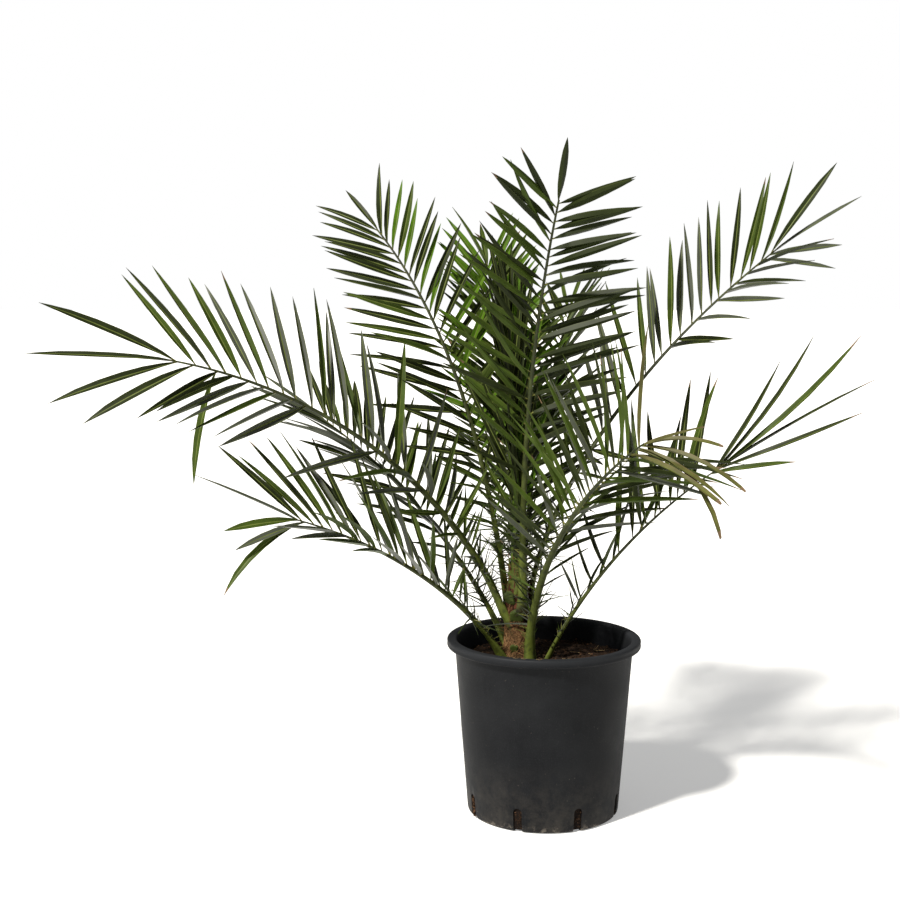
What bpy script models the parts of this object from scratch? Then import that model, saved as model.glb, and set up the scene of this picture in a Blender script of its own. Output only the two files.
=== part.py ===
"""Young Canary Island date palm, about 1.1 m tall, in a round 33 cm nursery pot.

The pot is filled with potting mix and a short fibrous trunk stands on the mix.
Eleven feather fronds and one unopened spear leaf rise from the trunk, and six
sawn-off leaf bases sit round it. Units are metres and +Z is up. The origin is
the middle of the pot's flat underside.
"""

import math
import random
from dataclasses import dataclass

import bmesh
import bpy
from mathutils import Matrix, Vector
from mathutils.bvhtree import BVHTree

SEED = 7
CLEARANCE = 0.0003

# Pot: a tapered thin wall with a rolled lip and eight slots at the foot.
POT_SEGMENTS = 56
POT_HEIGHT = 0.301
POT_FOOT_RADIUS = 0.129
POT_TOP_RADIUS = 0.1515
POT_WALL = 0.003
POT_FLOOR = 0.004
POT_EDGE = 0.005
LIP_RADIUS = 0.165
LIP_HEIGHT = 0.0148
LIP_ROUND = 0.004
SLOT_COUNT = 8
SLOT_WIDTH = 0.015
SLOT_HEIGHT = 0.041
SLOT_FIRST = math.radians(-112.0)

# Potting mix: it fills the pot and rises a little round the trunk.
MIX_LEVEL = 0.262
MIX_CROWN = 0.268
MIX_CROWN_RADIUS = 0.095
MIX_SHOULDER_RADIUS = 0.125

# Trunk: (height over the mix, radius), from the flared foot to the spear's seat.
TRUNK_PLACE = Vector((-0.045, 0.0, MIX_CROWN + CLEARANCE))
TRUNK_PROFILE = (
    (0.0, 0.0255),
    (0.012, 0.0245),
    (0.035, 0.0215),
    (0.070, 0.0195),
    (0.100, 0.0180),
    (0.120, 0.0165),
    (0.132, 0.0140),
)
TRUNK_SEGMENTS = 20
SLAB_DEPTH = 0.040
SLAB_RADIUS = 0.120

# Sawn leaf bases: (heading in degrees, height over the mix, width).
STUMPS = (
    (-95.0, 0.062, 0.026),
    (-131.0, 0.092, 0.022),
    (30.0, 0.034, 0.020),
    (-106.0, 0.004, 0.015),
    (62.0, 0.060, 0.020),
    (118.0, 0.045, 0.020),
)
STUMP_LENGTH = 0.023
STUMP_RISE = math.radians(66.0)
STUMP_THICKNESS = 0.0095
STUMP_ROOT = 0.0155
STUMP_TAPER = 0.25
STUMP_SIDES = 10

# Fronds.
RIB_STEPS = 14
RIB_SIDES = 6
RIB_FLATNESS = 0.62
RIB_END_HALF = 0.0016
RIB_TAPER = 0.8
SHEATH_SHARE = 0.12
SHEATH_FLARE = 0.40
LEAF_WIDTH = 0.0150
LEAF_KEEL = 0.0026
LEAF_ROOT = 0.0030
LEAF_WIDEST = 0.34
FULL_WIDTH_LENGTH = 0.150
SPINE_WIDTH_SHARE = 0.35
LEAF_CLEAR = 0.0006
TIP_REACH = 8.0
TIP_SINK = 0.005
NARROWING = 3.4
YOUNG_SHARE = 0.36
SHORTEST_SHARE = 0.28
RANK_OFFSET = 0.22
LENGTH_SCATTER = (0.90, 1.06)
SPREAD_SCATTER = 4.0
LIFT_SCATTER = 5.0
LOW_SCATTER = 2.0
PITCH_SCATTER = 0.16
STEERING = (
    (0, 0), (0, 7), (0, -7), (6, 0), (-6, 0), (5, 12), (5, -12), (-7, 12), (-7, -12), (0, 20), (0, -20),
)


@dataclass(frozen=True)
class Rank:
    """One side's leaflets: angles in degrees at the lowest and at the end leaflet, and bare stretches."""

    spread: tuple
    lift: tuple
    bare: tuple = ()


@dataclass(frozen=True)
class Frond:
    """One frond, by its midrib's course and the way its leaflets stand."""

    name: str
    heading: float
    foot: float
    height: float
    length: float
    rise: float
    end: float
    bend: float
    petiole: float
    half_width: float
    pairs: int
    leaf: float
    end_leaf: float
    tip_leaf: float
    roll: float
    left: Rank
    right: Rank
    stagger: float = 10.0
    tip_turn: float = 0.0
    flatness: float = RIB_FLATNESS
    flare: float = SHEATH_FLARE


FRONDS = (
    Frond("frond_front_tall", -69, 0.0226, 0.108, 0.674, 93.5, 64, 1.00, 0.17, 0.0066, 25, 0.205, 0.72,
          0.103, -12, Rank((72, 55), (34, -42)), Rank((60, 50), (22, -20)), 18, 8),
    Frond("frond_front_arching", -52, 0.0330, -0.003, 0.495, 98, 30.5, 0.62, 0.20, 0.0095, 20, 0.195, 1.00,
          0.134, -18, Rank((80, 66), (60, -20), ((0.92, 1.0),)), Rank((72, 50), (46, 66), ((0.90, 1.0),)),
          16, -14),
    Frond("frond_left_long", 189, 0.0200, 0.074, 0.730, 67, 11, 0.95, 0.13, 0.0080, 23, 0.215, 0.98,
          0.235, -40, Rank((62, 50), (38, -4), ((0.44, 0.62), (0.90, 1.0))),
          Rank((58, 36), (28, 22), ((0.96, 1.0),)), 22, -7.5, 0.8),
    Frond("frond_left_low", 200, 0.0270, 0.002, 0.449, 60, 18, 0.70, 0.20, 0.0098, 17, 0.215, 0.84,
          0.182, -20, Rank((50, 28), (78, -12), ((0.80, 1.0),)), Rank((54, 24), (20, 40)), 22, 8),
    Frond("frond_right_upper", 11.6, 0.0238, 0.078, 0.766, 97, 37, 0.42, 0.20, 0.0064, 25, 0.190, 0.94,
          0.190, 30, Rank((52, 30), (18, 44), ((0.96, 1.0),)),
          Rank((84, 66), (26, 24), ((0.26, 0.59), (0.64, 0.69), (0.72, 0.78), (0.96, 1.0))), 20, -6),
    Frond("frond_right_low", -12, 0.0500, -0.002, 0.447, 64, 35, 1.00, 0.20, 0.0066, 15, 0.205, 1.20,
          0.284, 12, Rank((66, 50), (10, 30), ((0.84, 1.0),)),
          Rank((58, 40), (64, 30), ((0.10, 0.50), (0.55, 1.0))), 26, -3.5),
    Frond("frond_back_left_tall", 141, 0.0225, 0.096, 0.708, 79, 43.5, 1.55, 0.16, 0.0060, 25, 0.205, 0.70,
          0.109, -36, Rank((66, 24), (28, -10)), Rank((54, 32), (44, 8)), 18),
    Frond("frond_back_young", 102, 0.0212, 0.114, 0.597, 85.5, 53, 1.00, 0.16, 0.0054, 21, 0.165, 0.80,
          0.099, 0, Rank((56, 24), (18, 14)), Rank((56, 24), (18, 14)), 18),
    Frond("frond_back_right", 67, 0.0222, 0.090, 0.563, 86, 43, 0.90, 0.17, 0.0060, 20, 0.165, 0.85,
          0.119, -20, Rank((56, 26), (20, 10)), Rank((50, 26), (30, 10)), 18),
    Frond("frond_back_left_low", 150, 0.0260, 0.028, 0.525, 62, 29.5, 0.80, 0.18, 0.0066, 18, 0.180, 0.90,
          0.159, -12, Rank((62, 26), (26, 10)), Rank((60, 26), (26, 12)), 20),
    Frond("frond_back_low", 88, 0.0260, 0.030, 0.571, 66, 15, 0.85, 0.18, 0.0068, 18, 0.190, 0.90,
          0.150, 0, Rank((62, 26), (24, 12)), Rank((62, 26), (24, 12)), 20, 4),
)
SPEAR = Frond("spear_leaf", 125, 0.0, 0.1323, 0.410, 90, 82, 1.00, 0.04, 0.0140, 15, 0.205, 0.85,
              0.170, 0, Rank((17, 8), (8, 4)), Rank((17, 8), (8, 4)), 34, 0, 1.0, 0.05)

# Leaflets out of rank: (frond, share of its midrib, heading and slope in degrees, length).
LOOSE_LEAVES = (
    ("frond_left_long", 0.99, 186, 24, 0.234),
    ("frond_left_long", 0.985, 196, -17, 0.215),
    ("frond_left_long", 0.95, 196, -27, 0.199),
    ("frond_left_long", 0.90, 186, -78, 0.190),
    ("frond_right_upper", 0.99, 12, 53, 0.196),
    ("frond_right_upper", 0.985, 6, 8, 0.130),
    ("frond_right_upper", 0.97, 2, -7, 0.125),
    ("frond_right_low", 0.97, -12, 61, 0.207),
    ("frond_right_low", 0.98, -13, 56, 0.265),
    ("frond_right_low", 0.99, -12, 45, 0.308),
    ("frond_right_low", 0.98, -10, 23, 0.249),
    ("frond_right_low", 0.95, -14, 10, 0.140),
    ("frond_right_low", 0.83, -12, 75, 0.199),
    ("frond_front_arching", 0.99, -25, 1, 0.129),
    ("frond_front_arching", 0.97, -38, -42, 0.195),
    ("frond_front_arching", 0.985, -34, -19, 0.185),
    ("frond_front_arching", 0.96, -40, -24, 0.180),
    ("frond_front_arching", 0.93, -45, -20, 0.184),
    ("frond_front_arching", 0.975, -56, 85, 0.189),
    ("frond_left_low", 0.97, 203, -40, 0.173),
    ("frond_left_low", 0.985, 199, -5, 0.123),
    ("frond_left_low", 0.96, 206, -17, 0.125),
    ("frond_back_low", 0.88, 70, -63, 0.162),
)

FINISHES = {
    "pot": ((0.022, 0.023, 0.025), 0.52),
    "mix": ((0.020, 0.013, 0.009), 0.95),
    "trunk": ((0.085, 0.045, 0.022), 0.90),
    "stump": ((0.060, 0.110, 0.025), 0.60),
    "leaf": ((0.035, 0.070, 0.016), 0.50),
    "spear": ((0.110, 0.200, 0.022), 0.48),
}


def clear_scene():
    for thing in list(bpy.data.objects):
        bpy.data.objects.remove(thing, do_unlink=True)


def finish(name):
    material = bpy.data.materials.get(name)
    if material is None:
        colour, roughness = FINISHES[name]
        material = bpy.data.materials.new(name)
        material.use_nodes = True
        shader = material.node_tree.nodes["Principled BSDF"]
        shader.inputs["Base Color"].default_value = (*colour, 1.0)
        shader.inputs["Roughness"].default_value = roughness
        shader.inputs["Metallic"].default_value = 0.0
    return material


def make_object(name, vertices, faces, material, collection=None):
    mesh = bpy.data.meshes.new(name)
    mesh.from_pydata([tuple(v) for v in vertices], [], faces)
    mesh.materials.append(finish(material))
    mesh.update()
    thing = bpy.data.objects.new(name, mesh)
    (collection or bpy.context.scene.collection).objects.link(thing)
    return thing


def shade_smooth(thing, sharp_angle):
    """Smooth the round faces and keep edges over the given angle sharp."""
    form = bmesh.new()
    form.from_mesh(thing.data)
    for face in form.faces:
        face.smooth = True
    for edge in form.edges:
        edge.smooth = edge.calc_face_angle(math.pi) < sharp_angle
    form.to_mesh(thing.data)
    form.free()


def apply_boolean(thing, operation, other=None, group=None):
    cut = thing.modifiers.new(operation.title(), "BOOLEAN")
    cut.operation = operation
    cut.solver = "EXACT"
    if group is None:
        cut.operand_type = "OBJECT"
        cut.object = other
    else:
        cut.operand_type = "COLLECTION"
        cut.collection = group
    with bpy.context.temp_override(object=thing, active_object=thing):
        bpy.ops.object.modifier_apply(modifier=cut.name)


def remove_object(thing):
    mesh = thing.data
    bpy.data.objects.remove(thing, do_unlink=True)
    bpy.data.meshes.remove(mesh)


def tree_of(vertices, faces):
    return BVHTree.FromPolygons([tuple(v) for v in vertices], faces)


def tree_of_object(thing):
    mesh = thing.data
    points = [thing.matrix_world @ vertex.co for vertex in mesh.vertices]
    return tree_of(points, [tuple(face.vertices) for face in mesh.polygons])


def lathe(name, profile, segments, material, place=(0.0, 0.0, 0.0)):
    """Turn a closed profile of (radius, height) points, both ends on the axis."""
    form = bmesh.new()
    points = [form.verts.new((radius, 0.0, height)) for radius, height in profile]
    edges = [form.edges.new(pair) for pair in zip(points, points[1:])]
    bmesh.ops.spin(
        form,
        geom=points + edges,
        cent=(0.0, 0.0, 0.0),
        axis=(0.0, 0.0, 1.0),
        angle=math.tau,
        steps=segments,
        use_merge=True,
    )
    bmesh.ops.remove_doubles(form, verts=form.verts, dist=0.00005)
    bmesh.ops.recalc_face_normals(form, faces=form.faces)
    mesh = bpy.data.meshes.new(name)
    form.to_mesh(mesh)
    form.free()
    mesh.materials.append(finish(material))
    thing = bpy.data.objects.new(name, mesh)
    bpy.context.scene.collection.objects.link(thing)
    thing.location = place
    bpy.context.view_layer.update()
    return thing


def loft(rings):
    """Closed tube through rings of points, as vertices and faces."""
    sides = len(rings[0])
    vertices = [point for ring in rings for point in ring]
    faces = [tuple(reversed(range(sides)))]
    for row in range(len(rings) - 1):
        low = row * sides
        high = low + sides
        for side in range(sides):
            after = (side + 1) % sides
            faces.append((low + side, low + after, high + after, high + side))
    last = (len(rings) - 1) * sides
    faces.append(tuple(range(last, last + sides)))
    return vertices, faces


def arc(centre, radius, start, stop, steps):
    """Points of (radius, height) on an arc, angles in degrees."""
    angles = [math.radians(start + (stop - start) * step / steps) for step in range(steps + 1)]
    return [(centre[0] + radius * math.cos(a), centre[1] + radius * math.sin(a)) for a in angles]


def wall_radius(height):
    """Outer radius of the pot's tapered wall at a height."""
    return POT_FOOT_RADIUS + (POT_TOP_RADIUS - POT_FOOT_RADIUS) * height / (POT_HEIGHT - LIP_HEIGHT)


def inner_radius(height):
    """Inner radius of the pot's wall at a height."""
    low = wall_radius(POT_FLOOR) - POT_WALL
    high = POT_TOP_RADIUS - POT_WALL
    return low + (high - low) * (height - POT_FLOOR) / (POT_HEIGHT - LIP_ROUND - POT_FLOOR)


def pot_profile():
    lip_foot = POT_HEIGHT - LIP_HEIGHT
    inner_top = POT_TOP_RADIUS - POT_WALL
    outline = [(0.0, 0.0), (POT_FOOT_RADIUS - POT_EDGE, 0.0)]
    outline += [(wall_radius(POT_EDGE), POT_EDGE), (POT_TOP_RADIUS, lip_foot)]
    outline += [(LIP_RADIUS - LIP_ROUND, lip_foot)]
    outline += arc((LIP_RADIUS - LIP_ROUND, lip_foot + LIP_ROUND), LIP_ROUND, -45, 0, 1)
    outline += arc((LIP_RADIUS - LIP_ROUND, POT_HEIGHT - LIP_ROUND), LIP_ROUND, 0, 90, 3)
    outline += [(inner_top + LIP_ROUND, POT_HEIGHT), (inner_top, POT_HEIGHT - LIP_ROUND)]
    outline += [(inner_radius(POT_FLOOR), POT_FLOOR), (0.0, POT_FLOOR)]
    return outline


def slot_cutter(angle):
    """Upright arched slot through the wall's foot, a little below its underside."""
    half = SLOT_WIDTH / 2
    inner = POT_FOOT_RADIUS - POT_EDGE - POT_WALL
    outer = POT_FOOT_RADIUS + 2 * POT_EDGE
    shape = [(-half, -POT_EDGE), (half, -POT_EDGE)]
    shape += arc((0.0, SLOT_HEIGHT - half), half, 0, 180, 4)
    rings = [[Vector((reach, across, up)) for across, up in shape] for reach in (inner, outer)]
    vertices, faces = loft(rings)
    cutter = make_object("slot_cutter", vertices, faces, "pot")
    cutter.data.transform(Matrix.Rotation(angle, 4, "Z"))
    cutter.hide_render = True
    cutter.display_type = "WIRE"
    return cutter


def make_pot():
    pot = lathe("pot", pot_profile(), POT_SEGMENTS, "pot")
    for slot in range(SLOT_COUNT):
        cutter = slot_cutter(SLOT_FIRST + math.tau * slot / SLOT_COUNT)
        apply_boolean(pot, "DIFFERENCE", other=cutter)
        remove_object(cutter)
    shade_smooth(pot, math.radians(40))
    return pot


def make_mix():
    """Potting mix, clear of the pot's floor and wall."""
    floor = POT_FLOOR + CLEARANCE
    profile = [(0.0, floor), (inner_radius(floor) - CLEARANCE, floor)]
    profile += [(inner_radius(MIX_LEVEL) - CLEARANCE, MIX_LEVEL), (MIX_SHOULDER_RADIUS, MIX_LEVEL)]
    profile += [(MIX_CROWN_RADIUS, MIX_CROWN), (0.0, MIX_CROWN)]
    mix = lathe("potting_mix", profile, POT_SEGMENTS, "mix")
    shade_smooth(mix, math.radians(40))
    return mix


def make_trunk():
    profile = [(0.0, 0.0)]
    profile += [(radius, height) for height, radius in TRUNK_PROFILE]
    profile += [(0.0, TRUNK_PROFILE[-1][0])]
    trunk = lathe("trunk", profile, TRUNK_SEGMENTS, "trunk", TRUNK_PLACE)
    shade_smooth(trunk, math.radians(50))
    return trunk


def seat_cutter():
    """The trunk grown by the clearance, on a wide slab that ends a clearance above the mix."""
    top = TRUNK_PROFILE[-1][0] + CLEARANCE
    profile = [(0.0, -SLAB_DEPTH), (SLAB_RADIUS, -SLAB_DEPTH), (SLAB_RADIUS, 0.0)]
    profile += [(radius + CLEARANCE, height) for height, radius in TRUNK_PROFILE]
    profile += [(TRUNK_PROFILE[-1][1] + CLEARANCE, top), (0.0, top)]
    return lathe("seat_cutter", profile, TRUNK_SEGMENTS, "trunk", TRUNK_PLACE)


def compass(degrees):
    """Level unit vectors outwards and to the left of a heading."""
    turn = math.radians(degrees)
    return Vector((math.cos(turn), math.sin(turn), 0.0)), Vector((-math.sin(turn), math.cos(turn), 0.0))


def ellipse(centre, across, up, half_across, half_up, sides):
    angles = [math.tau * side / sides for side in range(sides)]
    return [centre + across * half_across * math.cos(a) + up * half_up * math.sin(a) for a in angles]


def make_stump(number, heading, height, width, seat):
    """Sawn leaf base: a flat oval stub that leans out of the trunk."""
    out, left = compass(heading)
    along = out * math.cos(STUMP_RISE) + Vector((0.0, 0.0, math.sin(STUMP_RISE)))
    up = along.cross(left)
    root = TRUNK_PLACE + out * STUMP_ROOT + Vector((0.0, 0.0, height))
    rings = []
    for share in (0.0, 0.6, 1.0):
        centre = root + along * STUMP_LENGTH * share
        half = width / 2 * (1.0 - STUMP_TAPER * share)
        rings.append(ellipse(centre, left, up, half, STUMP_THICKNESS / 2, STUMP_SIDES))
    vertices, faces = loft(rings)
    stump = make_object(f"cut_leaf_base_{number}", vertices, faces, "stump")
    face_outwards(stump)
    apply_boolean(stump, "DIFFERENCE", other=seat)
    return stump


def face_outwards(thing):
    form = bmesh.new()
    form.from_mesh(thing.data)
    bmesh.ops.recalc_face_normals(form, faces=form.faces)
    form.to_mesh(thing.data)
    form.free()


class Midrib:
    """A frond's midrib: its places, directions and side vectors by share of its length."""

    def __init__(self, frond, steps=RIB_STEPS):
        self.frond = frond
        out, self.side = compass(frond.heading)
        start = TRUNK_PLACE + out * frond.foot + Vector((0.0, 0.0, frond.height))
        self.ways = []
        for step in range(steps + 1):
            slope = math.radians(frond.rise + (frond.end - frond.rise) * (step / steps) ** frond.bend)
            self.ways.append(out * math.cos(slope) + Vector((0.0, 0.0, math.sin(slope))))
        self.points = [start]
        for before, after in zip(self.ways, self.ways[1:]):
            self.points.append(self.points[-1] + (before + after) * (frond.length / steps / 2))

    def at(self, share):
        """Place, direction, left and up at a share of the length."""
        spot = share * (len(self.points) - 1)
        low = min(int(spot), len(self.points) - 2)
        place = self.points[low].lerp(self.points[low + 1], spot - low)
        way = self.ways[low].lerp(self.ways[low + 1], spot - low).normalized()
        up = way.cross(self.side)
        roll = math.radians(self.frond.roll)
        left = self.side * math.cos(roll) + up * math.sin(roll)
        return place, way, left, up * math.cos(roll) - self.side * math.sin(roll)

    def half_width(self, share):
        taper = self.frond.half_width + (RIB_END_HALF - self.frond.half_width) * share**RIB_TAPER
        sheath = max(0.0, 1.0 - share / SHEATH_SHARE)
        return taper * (1.0 + self.frond.flare * sheath)

    def tube(self, grow=0.0):
        rings = []
        steps = len(self.points) - 1
        for step, place in enumerate(self.points):
            way = self.ways[step]
            half = self.half_width(step / steps)
            across = half + grow
            thick = half * self.frond.flatness + grow
            rings.append(ellipse(place, self.side, way.cross(self.side), across, thick, RIB_SIDES))
        return loft(rings)


def blade(root, way, across, length, grow=0.0):
    """Folded leaflet: flat above, keeled below, on a short upright root edge."""
    below = way.cross(across).normalized()
    fullness = SPINE_WIDTH_SHARE + (1.0 - SPINE_WIDTH_SHARE) * length / FULL_WIDTH_LENGTH
    half = LEAF_WIDTH / 2 * min(1.0, fullness) + grow
    middle = root + way * length * LEAF_WIDEST
    vertices = (
        root - below * (LEAF_ROOT / 2 + grow),
        root + below * (LEAF_ROOT / 2 + grow),
        middle + across * half - below * grow,
        middle - across * half - below * grow,
        middle + below * (LEAF_KEEL + grow),
        root + way * (length + TIP_REACH * grow),
    )
    faces = ((0, 2, 3), (2, 5, 3), (1, 4, 2), (1, 3, 4), (4, 5, 2), (4, 3, 5), (0, 1, 2), (0, 3, 1))
    return vertices, faces


def leaf_way(midrib, share, along, sign, rank, turn):
    """Place, direction and width vector of one leaflet; turn adds degrees of spread and lift."""
    place, way, left, up = midrib.at(share)
    spread = math.radians(rank.spread[0] + (rank.spread[1] - rank.spread[0]) * along**NARROWING + turn[0])
    lift = math.radians(rank.lift[0] + (rank.lift[1] - rank.lift[0]) * along + turn[1])
    outwards = left * sign * math.cos(lift) + up * math.sin(lift)
    leaf = way * math.cos(spread) + outwards * math.sin(spread)
    across = (way - leaf * way.dot(leaf)).normalized() * sign
    return place, leaf, across


def leaf_length(frond, along):
    young = min(1.0, SHORTEST_SHARE + (1.0 - SHORTEST_SHARE) * along / YOUNG_SHARE)
    return frond.leaf * young * (1.0 + (frond.end_leaf - 1.0) * along)


def is_bare(rank, along):
    return any(low <= along <= high for low, high in rank.bare)


def paired_courses(midrib, obstacles, dice):
    """Leaflets (place, way, width vector, length) by pairs, each turned aside until it touches nothing."""
    frond = midrib.frond
    courses = []
    for pair in range(frond.pairs):
        along = (pair + 0.5) / frond.pairs
        loose = 1.0 + LOW_SCATTER * (1.0 - along)
        lean = frond.stagger * (1 if pair % 2 else -1) * (1.0 - along)
        for sign, rank in ((1, frond.left), (-1, frond.right)):
            pitch = sign * RANK_OFFSET + dice.uniform(-PITCH_SCATTER, PITCH_SCATTER)
            share = frond.petiole + (1.0 - frond.petiole) * (along + pitch / frond.pairs)
            length = leaf_length(frond, along) * dice.uniform(*LENGTH_SCATTER)
            swing = dice.uniform(-SPREAD_SCATTER, SPREAD_SCATTER) * loose
            tilt = lean + dice.uniform(-LIFT_SCATTER, LIFT_SCATTER) * loose
            if is_bare(rank, along):
                continue
            for turn in STEERING:
                course = leaf_way(midrib, share, along, sign, rank, (turn[0] + swing, turn[1] + tilt))
                tree = tree_of(*blade(*course, length, LEAF_CLEAR))
                if not any(tree.overlap(other) for other in obstacles):
                    courses.append((*course, length))
                    break
    return courses


def loose_courses(midrib):
    """The leaflet that ends the midrib, and those out of rank."""
    place, way, left, _ = midrib.at(1.0)
    turn = math.radians(midrib.frond.tip_turn)
    tip_way = way * math.cos(turn) + way.cross(midrib.side) * math.sin(turn)
    courses = [(place - way * TIP_SINK, tip_way, left, midrib.frond.tip_leaf)]
    for name, share, heading, slope, length in LOOSE_LEAVES:
        if name == midrib.frond.name:
            out, side = compass(heading)
            fall = math.radians(slope)
            way = out * math.cos(fall) + Vector((0.0, 0.0, math.sin(fall)))
            courses.append((midrib.at(share)[0], way, -side, length))
    return courses


def make_frond(midrib, courses, seat, material):
    """Midrib tube, seated on the trunk, with its leaflets fused on."""
    vertices, faces = midrib.tube()
    rib = make_object(midrib.frond.name, vertices, faces, material)
    face_outwards(rib)
    if seat is not None:
        apply_boolean(rib, "DIFFERENCE", other=seat)
    group = bpy.data.collections.new("leaflets")
    bpy.context.scene.collection.children.link(group)
    for number, course in enumerate(courses):
        vertices, faces = blade(*course)
        face_outwards(make_object(f"leaflet_{number}", vertices, faces, material, group))
    apply_boolean(rib, "UNION", group=group)
    for leaflet in list(group.objects):
        remove_object(leaflet)
    bpy.data.collections.remove(group)
    return rib


def main():
    clear_scene()
    dice = random.Random(SEED)
    fixed = [make_pot(), make_mix(), make_trunk()]
    seat = seat_cutter()
    for number, (heading, height, width) in enumerate(STUMPS, start=1):
        fixed.append(make_stump(number, heading, height, width, seat))
    fixed_trees = [tree_of_object(thing) for thing in fixed]
    ribs = [Midrib(frond) for frond in (SPEAR, *FRONDS)]
    rib_trees = [tree_of(*rib.tube(LEAF_CLEAR)) for rib in ribs]
    leaf_trees = []
    for rib, own_tree in zip(ribs, rib_trees):
        obstacles = fixed_trees + [tree for tree in rib_trees if tree is not own_tree] + leaf_trees
        courses = paired_courses(rib, obstacles, dice) + loose_courses(rib)
        leaf_trees += [tree_of(*blade(*course, LEAF_CLEAR)) for course in courses]
        is_spear = rib.frond is SPEAR
        make_frond(rib, courses, None if is_spear else seat, "spear" if is_spear else "leaf")
    remove_object(seat)


if __name__ == "__main__":
    main()
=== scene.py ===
"""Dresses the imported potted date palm: pot, potting mix, trunk, cut bases, fronds and spear leaf.

Lengths are in metres and angles in degrees, in the frame's own axes: +Z is up and
the origin is the middle of the pot's flat underside. Every stalk starts as a
straight one along +Z, made with Blender's operators, and is then laid on its course.
"""

import math
import random
from dataclasses import dataclass
from functools import partial

import bmesh
import bpy
from bpy.props import FloatProperty, FloatVectorProperty, IntProperty, PointerProperty
from mathutils import Matrix, Vector, noise
from mathutils.bvhtree import BVHTree


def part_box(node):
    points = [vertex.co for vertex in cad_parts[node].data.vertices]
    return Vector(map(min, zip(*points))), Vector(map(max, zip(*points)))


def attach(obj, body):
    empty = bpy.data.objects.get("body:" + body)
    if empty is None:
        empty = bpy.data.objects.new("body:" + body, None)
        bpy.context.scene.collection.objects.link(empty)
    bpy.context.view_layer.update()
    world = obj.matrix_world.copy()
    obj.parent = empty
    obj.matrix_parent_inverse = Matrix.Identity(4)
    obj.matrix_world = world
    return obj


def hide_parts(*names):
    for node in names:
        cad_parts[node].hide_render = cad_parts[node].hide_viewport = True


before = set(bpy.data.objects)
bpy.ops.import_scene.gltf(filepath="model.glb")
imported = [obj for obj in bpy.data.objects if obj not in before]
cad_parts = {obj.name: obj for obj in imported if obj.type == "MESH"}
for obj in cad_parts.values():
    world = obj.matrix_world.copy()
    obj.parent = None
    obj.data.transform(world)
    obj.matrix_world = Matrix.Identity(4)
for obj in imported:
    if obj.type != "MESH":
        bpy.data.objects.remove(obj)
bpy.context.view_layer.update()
POT_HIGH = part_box("pot")[1]

bl_info = {
    "name": "Potted date palm",
    "version": (1, 0, 0),
    "blender": (4, 5, 0),
    "location": "View3D > Sidebar > Palm",
    "description": "Pot, mix, trunk and fronds of a young date palm, around its solid model",
    "category": "Add Mesh",
}

SEED = 7
BODY = "root"
UP = Vector((0.0, 0.0, 1.0))

# Pot
POT_FOOT_RADIUS = 0.129
POT_TOP_RADIUS = 0.1515
POT_WALL = 0.003
POT_FLOOR = 0.004
LIP_HEIGHT = 0.0148
LIP_ROUND = 0.004
SLOT_COUNT = 8
SLOT_WIDTH = 0.015
SLOT_HEIGHT = 0.041
SLOT_DEPTH = 0.024
SLOT_OPEN = 0.005
SLOT_CORNER = 0.48
SLOT_FIRST = -112.0
SLOT_CRUMBS = 46
SLOT_CRUMB_SIZES = (0.0010, 0.0024)
TORN_SLOT = 7
BULGE_CRUMBS = 60
BULGE_CRUMB_SIZES = (0.0010, 0.0026)

# Potting mix
MIX_LEVEL = 0.262
MIX_CROWN = 0.268
MIX_PROFILE = ((0.095, MIX_CROWN), (0.125, MIX_LEVEL))
MIX_RINGS = 62
MIX_SIDES = 180
MIX_CALM_RIM = 0.006
MIX_SINK = 0.0008
CLEARANCE = 0.0003
CHIP_REACH = 0.146
CHIP_SIZES = (0.0009, 0.0012, 0.0016, 0.0022, 0.0034)
CHIP_LIFT = 0.0004
BROWN_CHIPS = 0.42
STRAW_REACH = 0.136
STRAW_LIMIT = 0.144
STRAW_LIFT = 0.0030
STRAW_LENGTHS = (0.008, 0.026)
STRAW_BEND = 0.0016
STRAW_RADII = (0.00022, 0.00045)
PALE_STRAWS = 0.6
LIP_STRAW_RADIUS = 0.0004
LIP_STRAWS = (-112.0, -107.0, -98.0)
LUMP_FACES = ((1, 3, 5), (3, 0, 5), (0, 2, 5), (2, 1, 5), (3, 1, 4), (0, 3, 4), (2, 0, 4), (1, 2, 4))

# Clods, lumps and crumbs of the mix: (scale, shift, share of the relief)
CLOD_WAVES = (
    (38.0, (0.0, 0.0, 0.0), 0.55),
    (120.0, (3.0, 1.0, 4.0), 0.40),
    (330.0, (9.0, 2.0, 6.0), 0.22),
)

# Trunk: (height over the mix, radius)
TRUNK_PLACE = Vector((-0.045, 0.0, MIX_CROWN + CLEARANCE))
TRUNK_PROFILE = (
    (0.0, 0.0255),
    (0.012, 0.0245),
    (0.035, 0.0215),
    (0.070, 0.0195),
    (0.100, 0.0180),
    (0.120, 0.0165),
    (0.132, 0.0140),
)
TRUNK_TOP = TRUNK_PROFILE[-1][0]
TRUNK_RINGS = 64
TRUNK_SIDES = 120
TAN_TOP = 0.055

# Fibres: a net wound round the trunk, and hairs that stand off it
NET_STARTS = (-0.002, 0.112)
NET_RISES = (0.010, 0.045)
NET_SWEEPS = (25.0, 120.0)
NET_PROUD = 0.0016
NET_STEPS = 6
NET_LOWEST = 0.0004
NET_HIGHEST = 0.128
TAN_NET_TOP = 0.052
HAIR_STARTS = (0.002, 0.118)
HAIR_LENGTHS = (0.006, 0.020)
HAIR_STEPS = 4
HAIR_SINK = 0.0004
FOOT_FIBRES = ("fibre_tan", "fibre_tan", "fibre_tan", "fibre_rust")
TOP_FIBRES = ("fibre_rust", "fibre_rust", "fibre_dark", "fibre_tan")
LOOSE_FIBRES = ("fibre_rust", "fibre_tan", "fibre_dark")

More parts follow.
